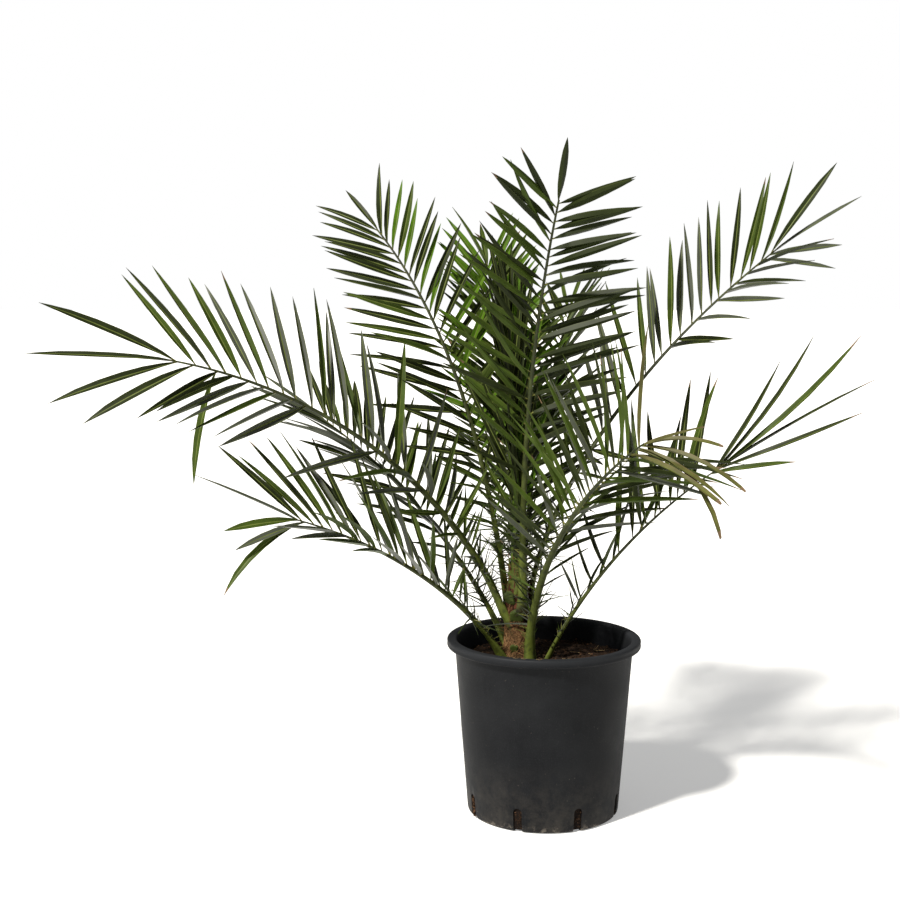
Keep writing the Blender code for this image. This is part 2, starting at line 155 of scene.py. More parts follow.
# Sawn leaf bases: (heading, height over the mix, width)
STUMPS = (
    (-95.0, 0.062, 0.026),
    (-131.0, 0.092, 0.022),
    (30.0, 0.034, 0.020),
    (-106.0, 0.004, 0.015),
    (62.0, 0.060, 0.020),
    (118.0, 0.045, 0.020),
)
STUMP_LENGTH = 0.023
STUMP_RISE = 66.0
STUMP_THICKNESS = 0.0095
STUMP_ROOT = 0.0155
CUT_BASE_ROWS = 8

# Remains of sheaths round the heart; the section is (place across, rise off the trunk)
SHEATH_COUNT = 26
SHEATH_STEPS = 8
SHEATH_DROP = 0.050
SHEATH_TIERS = 0.048
SHEATH_LENGTHS = (0.034, 0.062)
SHEATH_HALVES = (0.0050, 0.0095)
SHEATH_LEAN = 0.10
SHEATH_THREADS = 5
SHEATH_THREAD_RADIUS = 0.00030
SHEATH_SECTION = (
    (-1.0, -0.0004), (-0.45, 0.0007), (0.0, 0.0011), (0.45, 0.0007), (1.0, -0.0004), (0.0, -0.0012),
)
GOLDEN_ANGLE = 137.5

# Feet of the stalks, where they clasp the trunk
FOOT_DEPTH = 0.034
FOOT_ROWS = 6
FOOT_SINK = 0.006
FOOT_FLARE = 0.55
FOOT_HUG = 18.0
FOOT_SHARE = 0.03
STALK_RINGS = 46
STALK_SIDES = 14
SPINE_PITCH = 0.0065
SPINE_HALF = 0.0011
SPINE_GAPS = 0.18
SPINE_BEND = -0.05
PALE_SPINE = 0.020
SPINE_LEAVES = ("leaf_grey", "leaf_mid", "leaf_base")
WISP_PLACES = (0.62, 1.2)
WISP_LENGTHS = (0.040, 0.085)
WISP_RADII = (0.0014, 0.0023)
WISP_LEAVES = ("leaf_grey", "leaf_mid", "leaf_deep")

# How a frond grows
RIB_STEPS = 14
RIB_SIDES = 6
RIB_FLATNESS = 0.62
RIB_END_HALF = 0.0016
RIB_TAPER = 0.8
SHEATH_SHARE = 0.12
SHEATH_FLARE = 0.40
LEAF_WIDTH = 0.0150
LEAF_KEEL = 0.0026
LEAF_ROOT = 0.0030
LEAF_WIDEST = 0.34
FULL_WIDTH_LENGTH = 0.150
SPINE_WIDTH_SHARE = 0.35
LEAF_CLEAR = 0.0006
TIP_REACH = 8.0
TIP_SINK = 0.005
TIP_NARROWING = 0.74  # width of the leaflet that ends a midrib against its neighbours'
NARROWING = 3.4
YOUNG_SHARE = 0.36
SHORTEST_SHARE = 0.28
FINER = 1.4
RANK_OFFSET = 0.22
LENGTH_SCATTER = (0.90, 1.06)
SPREAD_SCATTER = 4.0
LIFT_SCATTER = 5.0
LOW_SCATTER = 2.0
PITCH_SCATTER = 0.16
WIDTH_SCATTER = (0.86, 1.08)
ARCH_SCATTER = (-0.3, 1.6)
SWAY_SCATTER = 0.012
TWIST_SCATTER = 22.0
LEAST_FULLNESS = 0.20
STEERING = (
    (0, 0), (0, 7), (0, -7), (6, 0), (-6, 0), (5, 12), (5, -12), (-7, 12), (-7, -12), (0, 20), (0, -20),
)

# Fine blade: (share of the length, share of the width, fold of each half)
BLADE = (
    (0.00, 0.26, 64),
    (0.035, 0.36, 60),
    (0.11, 0.66, 48),
    (0.26, 0.96, 42),
    (0.42, 1.00, 38),
    (0.60, 0.86, 35),
    (0.78, 0.60, 32),
    (0.92, 0.28, 28),
    (1.00, 0.02, 24),
)
BLUNT_BLADE = BLADE[:6] + (
    (0.80, 0.76, 22),
    (0.93, 0.60, 18),
    (0.98, 0.34, 14),
)
STRAP_BLADE = (
    (0.00, 0.22, 64),
    (0.035, 0.34, 60),
    (0.11, 0.62, 48),
    (0.26, 0.90, 34),
    (0.42, 1.00, 26),
    (0.60, 0.96, 22),
    (0.78, 0.76, 20),
    (0.92, 0.34, 18),
    (1.00, 0.03, 16),
)
CREASE_SHARE = 0.10
BLADE_THICKNESS = 0.0009
FULL_BLADE_LENGTH = 0.150

# Stage
FLOOR_SIZE = 80.0
FLOOR_HEIGHT = -0.0005
FLOOR_GLOW = 0.30
KEY_TURN = (42.0, -20.0, -24.0)
KEY_TINT = (1.0, 0.965, 0.90)
CAMERA_PLACE = (-0.16, -2.52, 0.910)
CAMERA_DIP = 6.53


@dataclass(frozen=True)
class Rank:
    """One side's leaflets: angles at the lowest and at the end leaflet, and bare stretches."""

    spread: tuple
    lift: tuple
    bare: tuple = ()


@dataclass(frozen=True)
class Frond:
    """One frond, by its midrib's course and the way its leaflets stand."""

    name: str
    heading: float
    foot: float
    height: float
    length: float
    rise: float
    end: float
    bend: float
    petiole: float
    half_width: float
    pairs: int
    leaf: float
    end_leaf: float
    tip_leaf: float
    roll: float
    left: Rank
    right: Rank
    stagger: float = 10.0
    tip_turn: float = 0.0
    flatness: float = RIB_FLATNESS
    flare: float = SHEATH_FLARE


FRONDS = (
    Frond("frond_front_tall", -69, 0.0226, 0.108, 0.674, 93.5, 64, 1.00, 0.17, 0.0066, 25, 0.205, 0.72,
          0.103, -12, Rank((72, 55), (34, -42)), Rank((60, 50), (22, -20)), 18, 8),
    Frond("frond_front_arching", -52, 0.0330, -0.003, 0.495, 98, 30.5, 0.62, 0.20, 0.0095, 20, 0.195, 1.00,
          0.134, -18, Rank((80, 66), (60, -20), ((0.92, 1.0),)), Rank((72, 50), (46, 66), ((0.90, 1.0),)),
          16, -14),
    Frond("frond_left_long", 189, 0.0200, 0.074, 0.730, 67, 11, 0.95, 0.13, 0.0080, 23, 0.215, 0.98,
          0.235, -40, Rank((62, 50), (38, -4), ((0.44, 0.62), (0.90, 1.0))),
          Rank((58, 36), (28, 22), ((0.96, 1.0),)), 22, -7.5, 0.8),
    Frond("frond_left_low", 200, 0.0270, 0.002, 0.449, 60, 18, 0.70, 0.20, 0.0098, 17, 0.215, 0.84,
          0.182, -20, Rank((50, 28), (78, -12), ((0.80, 1.0),)), Rank((54, 24), (20, 40)), 22, 8),
    Frond("frond_right_upper", 11.6, 0.0238, 0.078, 0.766, 97, 37, 0.42, 0.20, 0.0064, 25, 0.190, 0.94,
          0.190, 30, Rank((52, 30), (18, 44), ((0.96, 1.0),)),
          Rank((84, 66), (26, 24), ((0.26, 0.59), (0.64, 0.69), (0.72, 0.78), (0.96, 1.0))), 20, -6),
    Frond("frond_right_low", -12, 0.0500, -0.002, 0.447, 64, 35, 1.00, 0.20, 0.0066, 15, 0.205, 1.20,
          0.284, 12, Rank((66, 50), (10, 30), ((0.84, 1.0),)),
          Rank((58, 40), (64, 30), ((0.10, 0.50), (0.55, 1.0))), 26, -3.5),
    Frond("frond_back_left_tall", 141, 0.0225, 0.096, 0.708, 79, 43.5, 1.55, 0.16, 0.0060, 25, 0.205, 0.70,
          0.109, -36, Rank((66, 24), (28, -10)), Rank((54, 32), (44, 8)), 18),
    Frond("frond_back_young", 102, 0.0212, 0.114, 0.597, 85.5, 53, 1.00, 0.16, 0.0054, 21, 0.165, 0.80,
          0.099, 0, Rank((56, 24), (18, 14)), Rank((56, 24), (18, 14)), 18),
    Frond("frond_back_right", 67, 0.0222, 0.090, 0.563, 86, 43, 0.90, 0.17, 0.0060, 20, 0.165, 0.85,
          0.119, -20, Rank((56, 26), (20, 10)), Rank((50, 26), (30, 10)), 18),
    Frond("frond_back_left_low", 150, 0.0260, 0.028, 0.525, 62, 29.5, 0.80, 0.18, 0.0066, 18, 0.180, 0.90,
          0.159, -12, Rank((62, 26), (26, 10)), Rank((60, 26), (26, 12)), 20),
    Frond("frond_back_low", 88, 0.0260, 0.030, 0.571, 66, 15, 0.85, 0.18, 0.0068, 18, 0.190, 0.90,
          0.150, 0, Rank((62, 26), (24, 12)), Rank((62, 26), (24, 12)), 20, 4),
)
SPEAR = Frond("spear_leaf", 125, 0.0, 0.1323, 0.410, 90, 82, 1.00, 0.04, 0.0140, 15, 0.205, 0.85,
              0.170, 0, Rank((17, 8), (8, 4)), Rank((17, 8), (8, 4)), 34, 0, 1.0, 0.05)

# Leaflets out of rank, by frond: their roll, and (share of the midrib, heading, slope, length, bow)
LOOSE_LEAVES = {
    "frond_left_long": (-55, (
        (0.99, 186, 24, 0.234, 0.02), (0.985, 196, -17, 0.215, 0.02), (0.95, 196, -27, 0.199, 0.02),
        (0.90, 186, -78, 0.190, 0.04),
    )),
    "frond_right_upper": (50, (
        (0.99, 12, 53, 0.196, 0.01), (0.985, 6, 8, 0.130, 0.01), (0.97, 2, -7, 0.125, 0.01),
    )),
    "frond_right_low": (36, (
        (0.97, -12, 61, 0.207, -0.03), (0.98, -13, 56, 0.265, -0.04), (0.99, -12, 45, 0.308, -0.04),
        (0.98, -10, 23, 0.249, -0.01), (0.95, -14, 10, 0.140, 0.01), (0.83, -12, 75, 0.199, 0.02),
    )),
    "frond_front_arching": (20, (
        (0.99, -25, 1, 0.129, 0.08), (0.97, -38, -42, 0.195, 0.16), (0.985, -34, -19, 0.185, 0.08),
        (0.96, -40, -24, 0.180, 0.06), (0.93, -45, -20, 0.184, 0.05), (0.975, -56, 85, 0.189, 0.02),
    )),
    "frond_left_low": (-50, (
        (0.97, 203, -40, 0.173, 0.10), (0.985, 199, -5, 0.123, 0.03), (0.96, 206, -17, 0.125, 0.03),
    )),
    "frond_back_low": (0, ((0.88, 70, -63, 0.162, 0.10),)),
}


@dataclass(frozen=True)
class Spray:
    """What a frond's leaflets are dealt.

    Greens for each rank and for the end, shares of dry and blunt tips, how many
    leaflets stand for one of the solid's, their width against a usual one, how far every
    third one of each rank is drawn in, and the share of the usual wisps at the foot.
    """

    left: str
    right: str
    end: str = ""
    end_from: float = 0.86
    dry: float = 0.06
    blunt: float = 0.0
    finer: float = FINER
    wide: tuple = (1.0, 1.0)
    fan: tuple = (0.0, 0.0)
    wisps: float = 1.0


# the grey leaflets of the outer fronds carry a painted sky reflection as well as their waxy bloom
SPRAYS = {
    "frond_front_tall": Spray(
        "deep deep deep", "mid deep mid", finer=1.45, wide=(1.12, 0.92), fan=(6.0, 14.0)
    ),
    "frond_front_arching": Spray(
        "deep grey mid deep", "deep grey mid", "olive", 0.92, 0.30, 0.9, finer=1.7, wide=(0.88, 0.82),
        fan=(8.0, 8.0)
    ),
    "frond_left_long": Spray(
        "grey mid grey", "mid grey mid grey", "deep deep mid", 0.80, finer=1.15, wide=(1.18, 1.18)
    ),
    "frond_left_low": Spray("grey mid grey", "mid grey deep", dry=0.2, finer=1.2, wisps=0.5),
    "frond_right_upper": Spray("deep mid grey", "deep grey deep", finer=1.05, wide=(0.98, 0.98)),
    "frond_right_low": Spray("deep mid deep", "deep grey", dry=0.5, wisps=0.25),
    "frond_back_left_tall": Spray("mid deep deep", "mid young deep", finer=1.2, wide=(1.05, 1.05)),
    "frond_back_young": Spray("young mid", "young young mid", finer=1.9, wide=(1.15, 1.15)),
    "frond_back_right": Spray("deep mid", "deep mid", wide=(1.05, 1.05)),
    "frond_back_left_low": Spray("deep grey", "deep mid"),
    "frond_back_low": Spray("deep mid", "deep mid"),
    "spear_leaf": Spray("deep mid deep", "deep young deep", dry=0.0, finer=2.2),
}
# Finishes of leaflets: (name, colour, margin's colour, its gain, and what is unlike a usual blade); the paler
# margin is partly a painted highlight
LEAF_FINISHES = (
    ("leaf_deep", "deep", "midline", 0.42),
    ("leaf_mid", "mid", "midline", 0.75),
    ("leaf_young", "young", "midline", 1.1),
    # grey leaflets: waxy bloom with a painted sky reflection
    ("leaf_grey", "grey", "midline", 0.9, 0.18, 0.42, 0.25),
    ("leaf_olive", "olive", "dry", 0.9, 0.30),
    ("leaf_rib", "midline", "midline", 1.0),
    ("leaf_base", "base", "base", 1.0),
    ("leaf_dry", "dry", "dry", 1.0, 0.40, 0.75, 0.2),
)
LEAF_SLOTS = [row[0] for row in LEAF_FINISHES]

# Flecked finishes: (name, settings, colour, its gain, spread, scale, roughness, specular, bump)
FLECKED_FINISHES = (
    ("chip_dark", "palm_mix", "crumb", 0.45, 0.5, 160.0, 0.95, 0.15),
    ("chip_brown", "palm_mix", "crumb", 1.25, 0.5, 160.0, 0.92, 0.15),
    ("straw", "palm_mix", "straw", 1.0, 0.3, 120.0, 0.80, 0.2),
    ("fibre_tan", "palm_trunk", "tan", 1.35, 0.4, 140.0, 0.85, 0.2),
    ("fibre_rust", "palm_trunk", "rust", 1.5, 0.4, 140.0, 0.85, 0.2),
    ("fibre_dark", "palm_trunk", "rust", 0.45, 0.4, 140.0, 0.90, 0.2),
    ("cut_skin", "palm_trunk", "skin", 1.0, 0.3, 90.0, 0.50, 0.35),
    ("cut_face", "palm_trunk", "skin", 0.9, 0.45, 260.0, 0.75, 0.2, 0.0010),
    ("sheath_green", "palm_frond", "petiole", 0.75, 0.6, 120.0, 0.55, 0.2),
    ("sheath_brown", "palm_trunk", "rust", 0.8, 0.6, 150.0, 0.90, 0.2),
)


# --- Settings that a user would change ---


Colour = partial(FloatVectorProperty, subtype="COLOR")
Length = partial(FloatProperty, unit="LENGTH")


class PotSettings(bpy.types.PropertyGroup):
    """Sizes and colours of the nursery pot."""

    height: Length(name="Height", description="From the underside to the top of the lip", default=POT_HIGH.z)
    lip_radius: Length(name="Lip radius", description="Outside radius of the rolled lip", default=POT_HIGH.x)
    sides: IntProperty(name="Sides", description="Faces round the pot", default=128, min=32)
    edge_round: Length(name="Edge round", description="Rounding of the slot and foot edges", default=0.0007)
    plastic: Colour(name="Plastic", description="Colour of the plastic", default=(0.0035, 0.0040, 0.0050))
    # colour of the scuffs, also used for the painted highlight along the top of the lip
    scuff_and_lip_highlight: Colour(name="Scuffed", description="Colour of worn plastic", default=(0.0094, 0.0101, 0.0114))
    dust: Colour(name="Dust", description="Colour of dried soil near the foot", default=(0.150, 0.130, 0.105))


class MixSettings(bpy.types.PropertyGroup):
    """Relief, litter and colours of the potting mix."""

    relief: Length(name="Relief", description="Height of the clods", default=0.007)
    chips: IntProperty(name="Chips", description="Bark chips and crumbs on top", default=900, min=0)
    straws: IntProperty(name="Straws", description="Pale straws and roots on top", default=48, min=0)
    damp: Colour(name="Damp mix", description="Darkest colour", default=(0.0048, 0.0030, 0.0021))
    crumb: Colour(name="Dry crumbs", description="Lightest colour", default=(0.052, 0.027, 0.014))
    straw: Colour(name="Straw", description="Colour of straws and dry roots", default=(0.38, 0.27, 0.14))


class TrunkSettings(bpy.types.PropertyGroup):
    """Bark relief, fibres and cut bases of the trunk."""

    relief: Length(name="Bark relief", description="Depth of the bark", default=0.003)
    net_fibres: IntProperty(name="Net fibres", description="Fibres wound round the trunk", default=620, min=0)
    loose_fibres: IntProperty(name="Loose fibres", description="Fibres that stand off", default=170, min=0)
    fibre_radius: Length(name="Fibre radius", description="Half its width", default=0.00032, precision=5)
    tan: Colour(name="Tan fibre", description="Fibre net at the foot", default=(0.19, 0.105, 0.045))
    rust: Colour(name="Red-brown fibre", description="Fibre higher up", default=(0.075, 0.026, 0.012))
    skin: Colour(name="Cut base", description="Green skin of the cut bases", default=(0.042, 0.060, 0.010))


class FrondSettings(bpy.types.PropertyGroup):
    """Blade sizes and the palette that the leaflets are dealt from."""

    blade_width: Length(name="Blade width", description="Width of a full leaflet laid flat", default=0.0150)
    roll: FloatProperty(name="Roll", description="Most turn about the midline, in degrees", default=32.0)
    arch: FloatProperty(name="Arch", description="Rise of a leaflet's middle, by its length", default=0.018)
    spine_length: Length(name="Spine length", description="Longest spine on a petiole", default=0.050)
    wisps: FloatProperty(name="Wisps", description="Thin lowest leaflets per metre", default=28.0, min=0.0)
    deep: Colour(name="Deep green", description="Oldest leaflets", default=(0.0160, 0.0220, 0.0055))
    mid: Colour(name="Mid green", description="Grown leaflets", default=(0.035, 0.056, 0.0070))
    young: Colour(name="Young green", description="New leaflets", default=(0.054, 0.120, 0.0045))
    # grey green: partly the leaflets' waxy bloom, partly a painted sky reflection
    grey: Colour(name="Grey green", description="Waxy leaflets", default=(0.054, 0.061, 0.043))
    olive: Colour(name="Olive", description="Ageing leaflets", default=(0.085, 0.082, 0.024))
    dry: Colour(name="Dry ends", description="Dead tips", default=(0.130, 0.086, 0.045))
    base: Colour(name="Leaflet base", description="Where a leaflet joins", default=(0.115, 0.115, 0.030))
    midline: Colour(name="Midline", description="A leaflet's crease", default=(0.095, 0.118, 0.026))
    petiole: Colour(name="Petiole", description="Foot of a frond", default=(0.078, 0.098, 0.014))
    rachis: Colour(name="Rachis", description="Upper part of a frond's stalk", default=(0.028, 0.034, 0.012))


class StageSettings(bpy.types.PropertyGroup):
    """Floor, light and camera."""

    floor: Colour(name="Floor", description="Colour of the floor", default=(0.90, 0.90, 0.89))
    sky: FloatProperty(name="Room light", description="Even light from all round", default=0.25, min=0.0)
    key: FloatProperty(name="Key light", description="Strength of the main light", default=5.8, min=0.0)
    softness: FloatProperty(
        name="Softness", description="Breadth of the main light", default=math.radians(6), subtype="ANGLE"
    )
    lens: FloatProperty(name="Lens", description="Focal length in millimetres", default=60.3, min=10.0)


# --- Making and shaping ---


def clear_selection():
    """Nothing selected, so that an operator acts only on what is added next."""
    bpy.ops.object.select_all(action="DESELECT")


def pick(piece):
    """The piece selected alone and active."""
    clear_selection()
    piece.select_set(True)
    bpy.context.view_layer.objects.active = piece


def apply_modifier(piece, kind, **values):
    modifier = piece.modifiers.new(kind.title(), kind)
    for key, value in values.items():
        setattr(modifier, key, value)
    bpy.context.view_layer.objects.active = piece
    bpy.ops.object.modifier_apply(modifier=modifier.name)


def bevel(piece, width, angle):
    """Edges sharper than an angle, rounded."""
    limit = math.radians(angle)
    apply_modifier(piece, "BEVEL", width=width, segments=2, limit_method="ANGLE", angle_limit=limit)


def place_in_mesh(piece):
    """The object goes to the origin, unturned, and its place goes into its mesh."""
    pick(piece)
    bpy.ops.object.transform_apply(location=True, rotation=True, scale=True)


def smooth(piece, angle):
    pick(piece)
    bpy.ops.object.shade_smooth_by_angle(angle=math.radians(angle))


def paint(piece, *finishes):
    """The piece's material slots."""
    piece.data.materials.clear()
    for finish in finishes:
        piece.data.materials.append(finish_of(finish))


def finish_piece(piece, slot, *nodes):
    """The piece rides on the plant's one body, and stands for its CAD nodes."""
    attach(piece, BODY)
    if nodes:
        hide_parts(*nodes)


def start_disc(name, sides, radius, place):
    """A disc in edit mode, from which a form is extruded."""
    clear_selection()
    bpy.ops.mesh.primitive_circle_add(
        vertices=sides, radius=radius, fill_type="NGON", location=place, enter_editmode=True
    )
    bpy.context.object.name = name
    return bpy.context.object


def extrude(rise, grow=1.0, centre=None):
    """The selected end moved up, and scaled about a centre if one is given."""
    bpy.ops.mesh.extrude_region_move(TRANSFORM_OT_translate={"value": (0.0, 0.0, rise)})
    if centre is not None:
        bpy.ops.transform.resize(value=(grow, grow, 1.0), center_override=centre)


def leave_outwards():
    """Every face turned outwards, and edit mode left."""
    bpy.ops.mesh.select_all(action="SELECT")
    bpy.ops.mesh.normals_make_consistent(inside=False)
    bpy.ops.object.mode_set(mode="OBJECT")


def turn_outwards(piece):
    pick(piece)
    bpy.ops.object.mode_set(mode="EDIT")
    leave_outwards()


def turned(name, profile, sides, centre=(0.0, 0.0)):
    """A disc, extruded and scaled ring by ring up a profile of (radius, height)."""
    radius, height = profile[0]
    piece = start_disc(name, sides, radius, (*centre, height))
    for (radius, height), (next_radius, next_height) in zip(profile, profile[1:]):
        extrude(next_height - height, next_radius / radius, (*centre, next_height))
    leave_outwards()
    place_in_mesh(piece)
    return piece


def arc(centre, radius, start, stop, steps):
    """Points of (radius, height) on an arc."""
    angles = [math.radians(start + (stop - start) * step / steps) for step in range(steps + 1)]
    return [(centre[0] + radius * math.cos(a), centre[1] + radius * math.sin(a)) for a in angles]


def towards(first, second, turn):
    """The first of two unit vectors at right angles, turned towards the second, in radians."""
    return first * math.cos(turn) + second * math.sin(turn)


def compass(degrees):
    """Level unit vectors outwards and to the left of a heading."""
    turn = math.radians(degrees)
    return Vector((math.cos(turn), math.sin(turn), 0.0)), Vector((-math.sin(turn), math.cos(turn), 0.0))


def sloped(out, degrees):
    """A level unit vector, turned upwards."""
    return towards(out, UP, math.radians(degrees))


def oval(centre, across, up, sides):
    """A ring of points about a centre, through the ends of two half axes."""
    turns = [math.tau * number / sides for number in range(sides)]
    return [centre + across * math.cos(turn) + up * math.sin(turn) for turn in turns]


def loft(rings):
    """Closed tube through rings of points, as points and faces."""
    sides = len(rings[0])
    points = [point for ring in rings for point in ring]
    faces = [tuple(reversed(range(sides)))]
    for row in range(len(rings) - 1):
        low = row * sides
        high = low + sides
        for side in range(sides):
            after = (side + 1) % sides
            faces.append((low + side, low + after, high + after, high + side))
    last = (len(rings) - 1) * sides
    faces.append(tuple(range(last, last + sides)))
    return points, faces


class Bundle:
    """Many small closed shapes, gathered into one joined mesh."""

    def __init__(self, finishes):
        self.finishes = list(finishes)
        self.points = []
        self.faces = []
        self.slots = []
        self.margins = []

    def add(self, points, faces, finishes, margins=None):
        """finishes is a name for the whole shape or one for each face; margins is 1 at a blade's edge."""
        first = len(self.points)
        self.points.extend(tuple(point) for point in points)
        self.margins.extend(margins or [0.0] * len(points))
        self.faces.extend(tuple(first + corner for corner in face) for face in faces)
        if isinstance(finishes, str):
            finishes = [finishes] * len(faces)
        self.slots.extend(self.finishes.index(finish) for finish in finishes)

    def thread(self, course, radius, finish, sides=3):
        """A thin strand along a course of points, drawn to a point at its end."""
        rings = []
        for step, place in enumerate(course):
            ahead = course[min(step + 1, len(course) - 1)] - course[max(step - 1, 0)]
            side = ahead.orthogonal().normalized()
            width = radius * (1.0 - 0.75 * step / (len(course) - 1))
            rings.append(oval(place, side * width, ahead.cross(side).normalized() * width, sides))
        self.add(*loft(rings), finish)

    def build(self, name, angle=32.0):
        mesh = bpy.data.meshes.new(name)
        mesh.from_pydata(self.points, [], self.faces)
        for finish in self.finishes:
            mesh.materials.append(finish_of(finish))
        mesh.polygons.foreach_set("material_index", self.slots)
        form = bmesh.new()
        form.from_mesh(mesh)
        bmesh.ops.recalc_face_normals(form, faces=form.faces)
        form.to_mesh(mesh)
        form.free()
        if any(self.margins):
            mesh.attributes.new("margin", "FLOAT", "POINT").data.foreach_set("value", self.margins)
        piece = bpy.data.objects.new(name, mesh)
        bpy.context.scene.collection.objects.link(piece)
        smooth(piece, angle)
        return piece


# --- Finishes ---


class Finish:
    """A material under construction: a shader with nodes that read the object's own coordinates."""

    def __init__(self, name, roughness, specular=0.5):
        self.material = bpy.data.materials.new(name)
        self.material.use_nodes = True
        self.tree = self.material.node_tree
        self.shader = self.tree.nodes["Principled BSDF"]
        self.shader.inputs["Roughness"].default_value = roughness
        self.shader.inputs["Specular IOR Level"].default_value = specular
        self.place = self.node("TexCoord").outputs["Object"]

    def feed(self, socket, source):
        """An input linked to another node's output, or set to a constant."""
        if isinstance(source, bpy.types.NodeSocket):
            self.tree.links.new(source, socket)
        else:
            socket.default_value = source

    def node(self, kind, **sources):
        """A new node, with its inputs fed by name; _ stands for a space in one."""
        node = self.tree.nodes.new("ShaderNode" + kind)
        for key, source in sources.items():
            self.feed(node.inputs[key.replace("_", " ")], source)
        return node

    def noise(self, scale, detail=3.0, rough=0.55, vector=None):
        source = vector or self.place
        node = self.node("TexNoise", Vector=source, Scale=scale, Detail=detail, Roughness=rough)
        return node.outputs["Fac"]

    def streaks(self, scale, detail, rough):
        """Noise drawn out by a scale for each axis."""
        mapping = self.node("Mapping", Vector=self.place, Scale=scale)
        return self.noise(1.0, detail, rough, mapping.outputs["Vector"])

    def ramp(self, factor, *stops):
        """Colours by (position, colour) stops."""
        node = self.node("ValToRGB", Fac=factor)
        elements = node.color_ramp.elements
        for number, (position, colour) in enumerate(stops):
            stop = elements[number] if number < 2 else elements.new(position)
            stop.position = position
            stop.color = (*colour, 1.0)
        return node.outputs["Color"]

    def mix(self, factor, first, second):
        node = self.node("Mix")
        node.data_type = "RGBA"
        self.feed(node.inputs["Factor"], factor)
        for source, key in ((first, 6), (second, 7)):
            linked = isinstance(source, bpy.types.NodeSocket)
            self.feed(node.inputs[key], source if linked else (*source, 1.0))
        return node.outputs[2]

    def band(self, factor, low, high, out_low=0.0, out_high=1.0):
        ends = {"From_Min": low, "From_Max": high, "To_Min": out_low, "To_Max": out_high}
        return self.node("MapRange", Value=factor, **ends).outputs["Result"]

    def product(self, first, second):
        node = self.node("Math")
        node.operation = "MULTIPLY"
        self.feed(node.inputs[0], first)
        self.feed(node.inputs[1], second)
        return node.outputs["Value"]

    def attribute(self, name):
        node = self.node("Attribute")
        node.attribute_name = name
        return node.outputs["Fac"]

    def height(self):
        return self.node("SeparateXYZ", Vector=self.place).outputs["Z"]

    def done(self, colour, relief=None, distance=0.0, strength=1.0):
        """The material, with its colour and the relief of its surface."""
        self.feed(self.shader.inputs["Base Color"], colour)
        if relief is not None:
            bump = self.node("Bump", Height=relief, Distance=distance, Strength=strength)
            self.feed(self.shader.inputs["Normal"], bump.outputs["Normal"])
        return self.material


def shade(colour, gain):
    return tuple(min(1.0, part * gain) for part in colour)


def varied(finish, factor, low, high, colour, spread):
    """One colour, darker and lighter by a spread."""
    return finish.ramp(factor, (low, shade(colour, 1.0 - spread)), (high, shade(colour, 1.0 + spread)))


def pot_finish(settings):
    """Scuffed black plastic, with faint upright streaks, dried soil towards the foot and a painted highlight
    along the top of the lip.
    """
    finish = Finish("pot_plastic", 0.60, 0.11)
    cloudy = finish.noise(9.0, 5.0, 0.62)
    streaks = finish.streaks((150.0, 150.0, 7.0), 4.0, 0.6)
    grain = finish.streaks((900.0, 900.0, 420.0), 3.0, 0.6)
    height = finish.height()
    low = finish.band(height, 0.120, 0.0, 0.0, 0.20)
    grime = finish.band(finish.noise(30.0, 7.0, 0.75), 0.40, 0.72)
    foot = finish.band(height, 0.014, 0.003)
    clots = finish.band(finish.noise(110.0, 5.0, 0.7), 0.52, 0.62, 0.0, 0.55)
    specks = finish.noise(260.0, 2.0, 0.5)
    colour = settings.plastic
    for factor, layer in (
        (finish.band(cloudy, 0.42, 0.72), settings.scuff_and_lip_highlight),
        (finish.band(streaks, 0.52, 0.80, 0.0, 0.35), settings.scuff_and_lip_highlight),
        (finish.product(low, grime), settings.dust),
        (finish.product(foot, clots), shade(settings.dust, 1.3)),
        # painted highlight: the top of the lip lightened as if it caught the light
        (finish.band(height, 0.2885, 0.2990, 0.0, 0.55), shade(settings.scuff_and_lip_highlight, 2.6)),
        (finish.band(grain, 0.52, 0.80, 0.0, 0.5), shade(settings.scuff_and_lip_highlight, 2.2)),
        (finish.band(specks, 0.72, 0.80, 0.0, 0.35), settings.dust),
    ):
        colour = finish.mix(factor, colour, layer)
    finish.feed(finish.shader.inputs["Roughness"], finish.band(cloudy, 0.3, 0.7, 0.50, 0.68))
    return finish.done(colour, finish.noise(700.0, 3.0, 0.6), 0.0002, 0.5)


def mix_finish(settings):
    """Dark damp mix with dry red-brown crumbs."""
    finish = Finish("potting_mix", 0.95, 0.15)
    coarse = finish.noise(60.0, 6.0, 0.7)
    crumb = settings.crumb
    crumbs = finish.ramp(coarse, (0.36, settings.damp), (0.74, crumb), (0.56, shade(crumb, 0.45)))
    wet = finish.band(finish.height(), 0.10, 0.05, 0.0, 0.85)
    return finish.done(finish.mix(wet, crumbs, settings.damp), finish.noise(420.0, 5.0, 0.7), 0.0018)


def flecked_finish(name, colour, spread, scale, roughness, specular, bump=0.0004):
    """One colour with lighter and darker flecks."""
    finish = Finish(name, roughness, specular)
    flecks = varied(finish, finish.noise(scale, 4.0, 0.6), 0.32, 0.70, colour, spread)
    return finish.done(flecks, finish.noise(scale * 4.0, 3.0, 0.6), bump, 0.6)


def bark_finish(name, colour):
    """Matted fibre: upright and slanting streaks of tan and dark brown."""
    finish = Finish(name, 0.92, 0.15)
    streaks = finish.streaks((260.0, 260.0, 60.0), 6.0, 0.7)
    stops = ((0.36, shade(colour, 0.18)), (0.72, shade(colour, 1.15)), (0.54, shade(colour, 0.6)))
    return finish.done(finish.ramp(streaks, *stops), streaks, 0.0016)


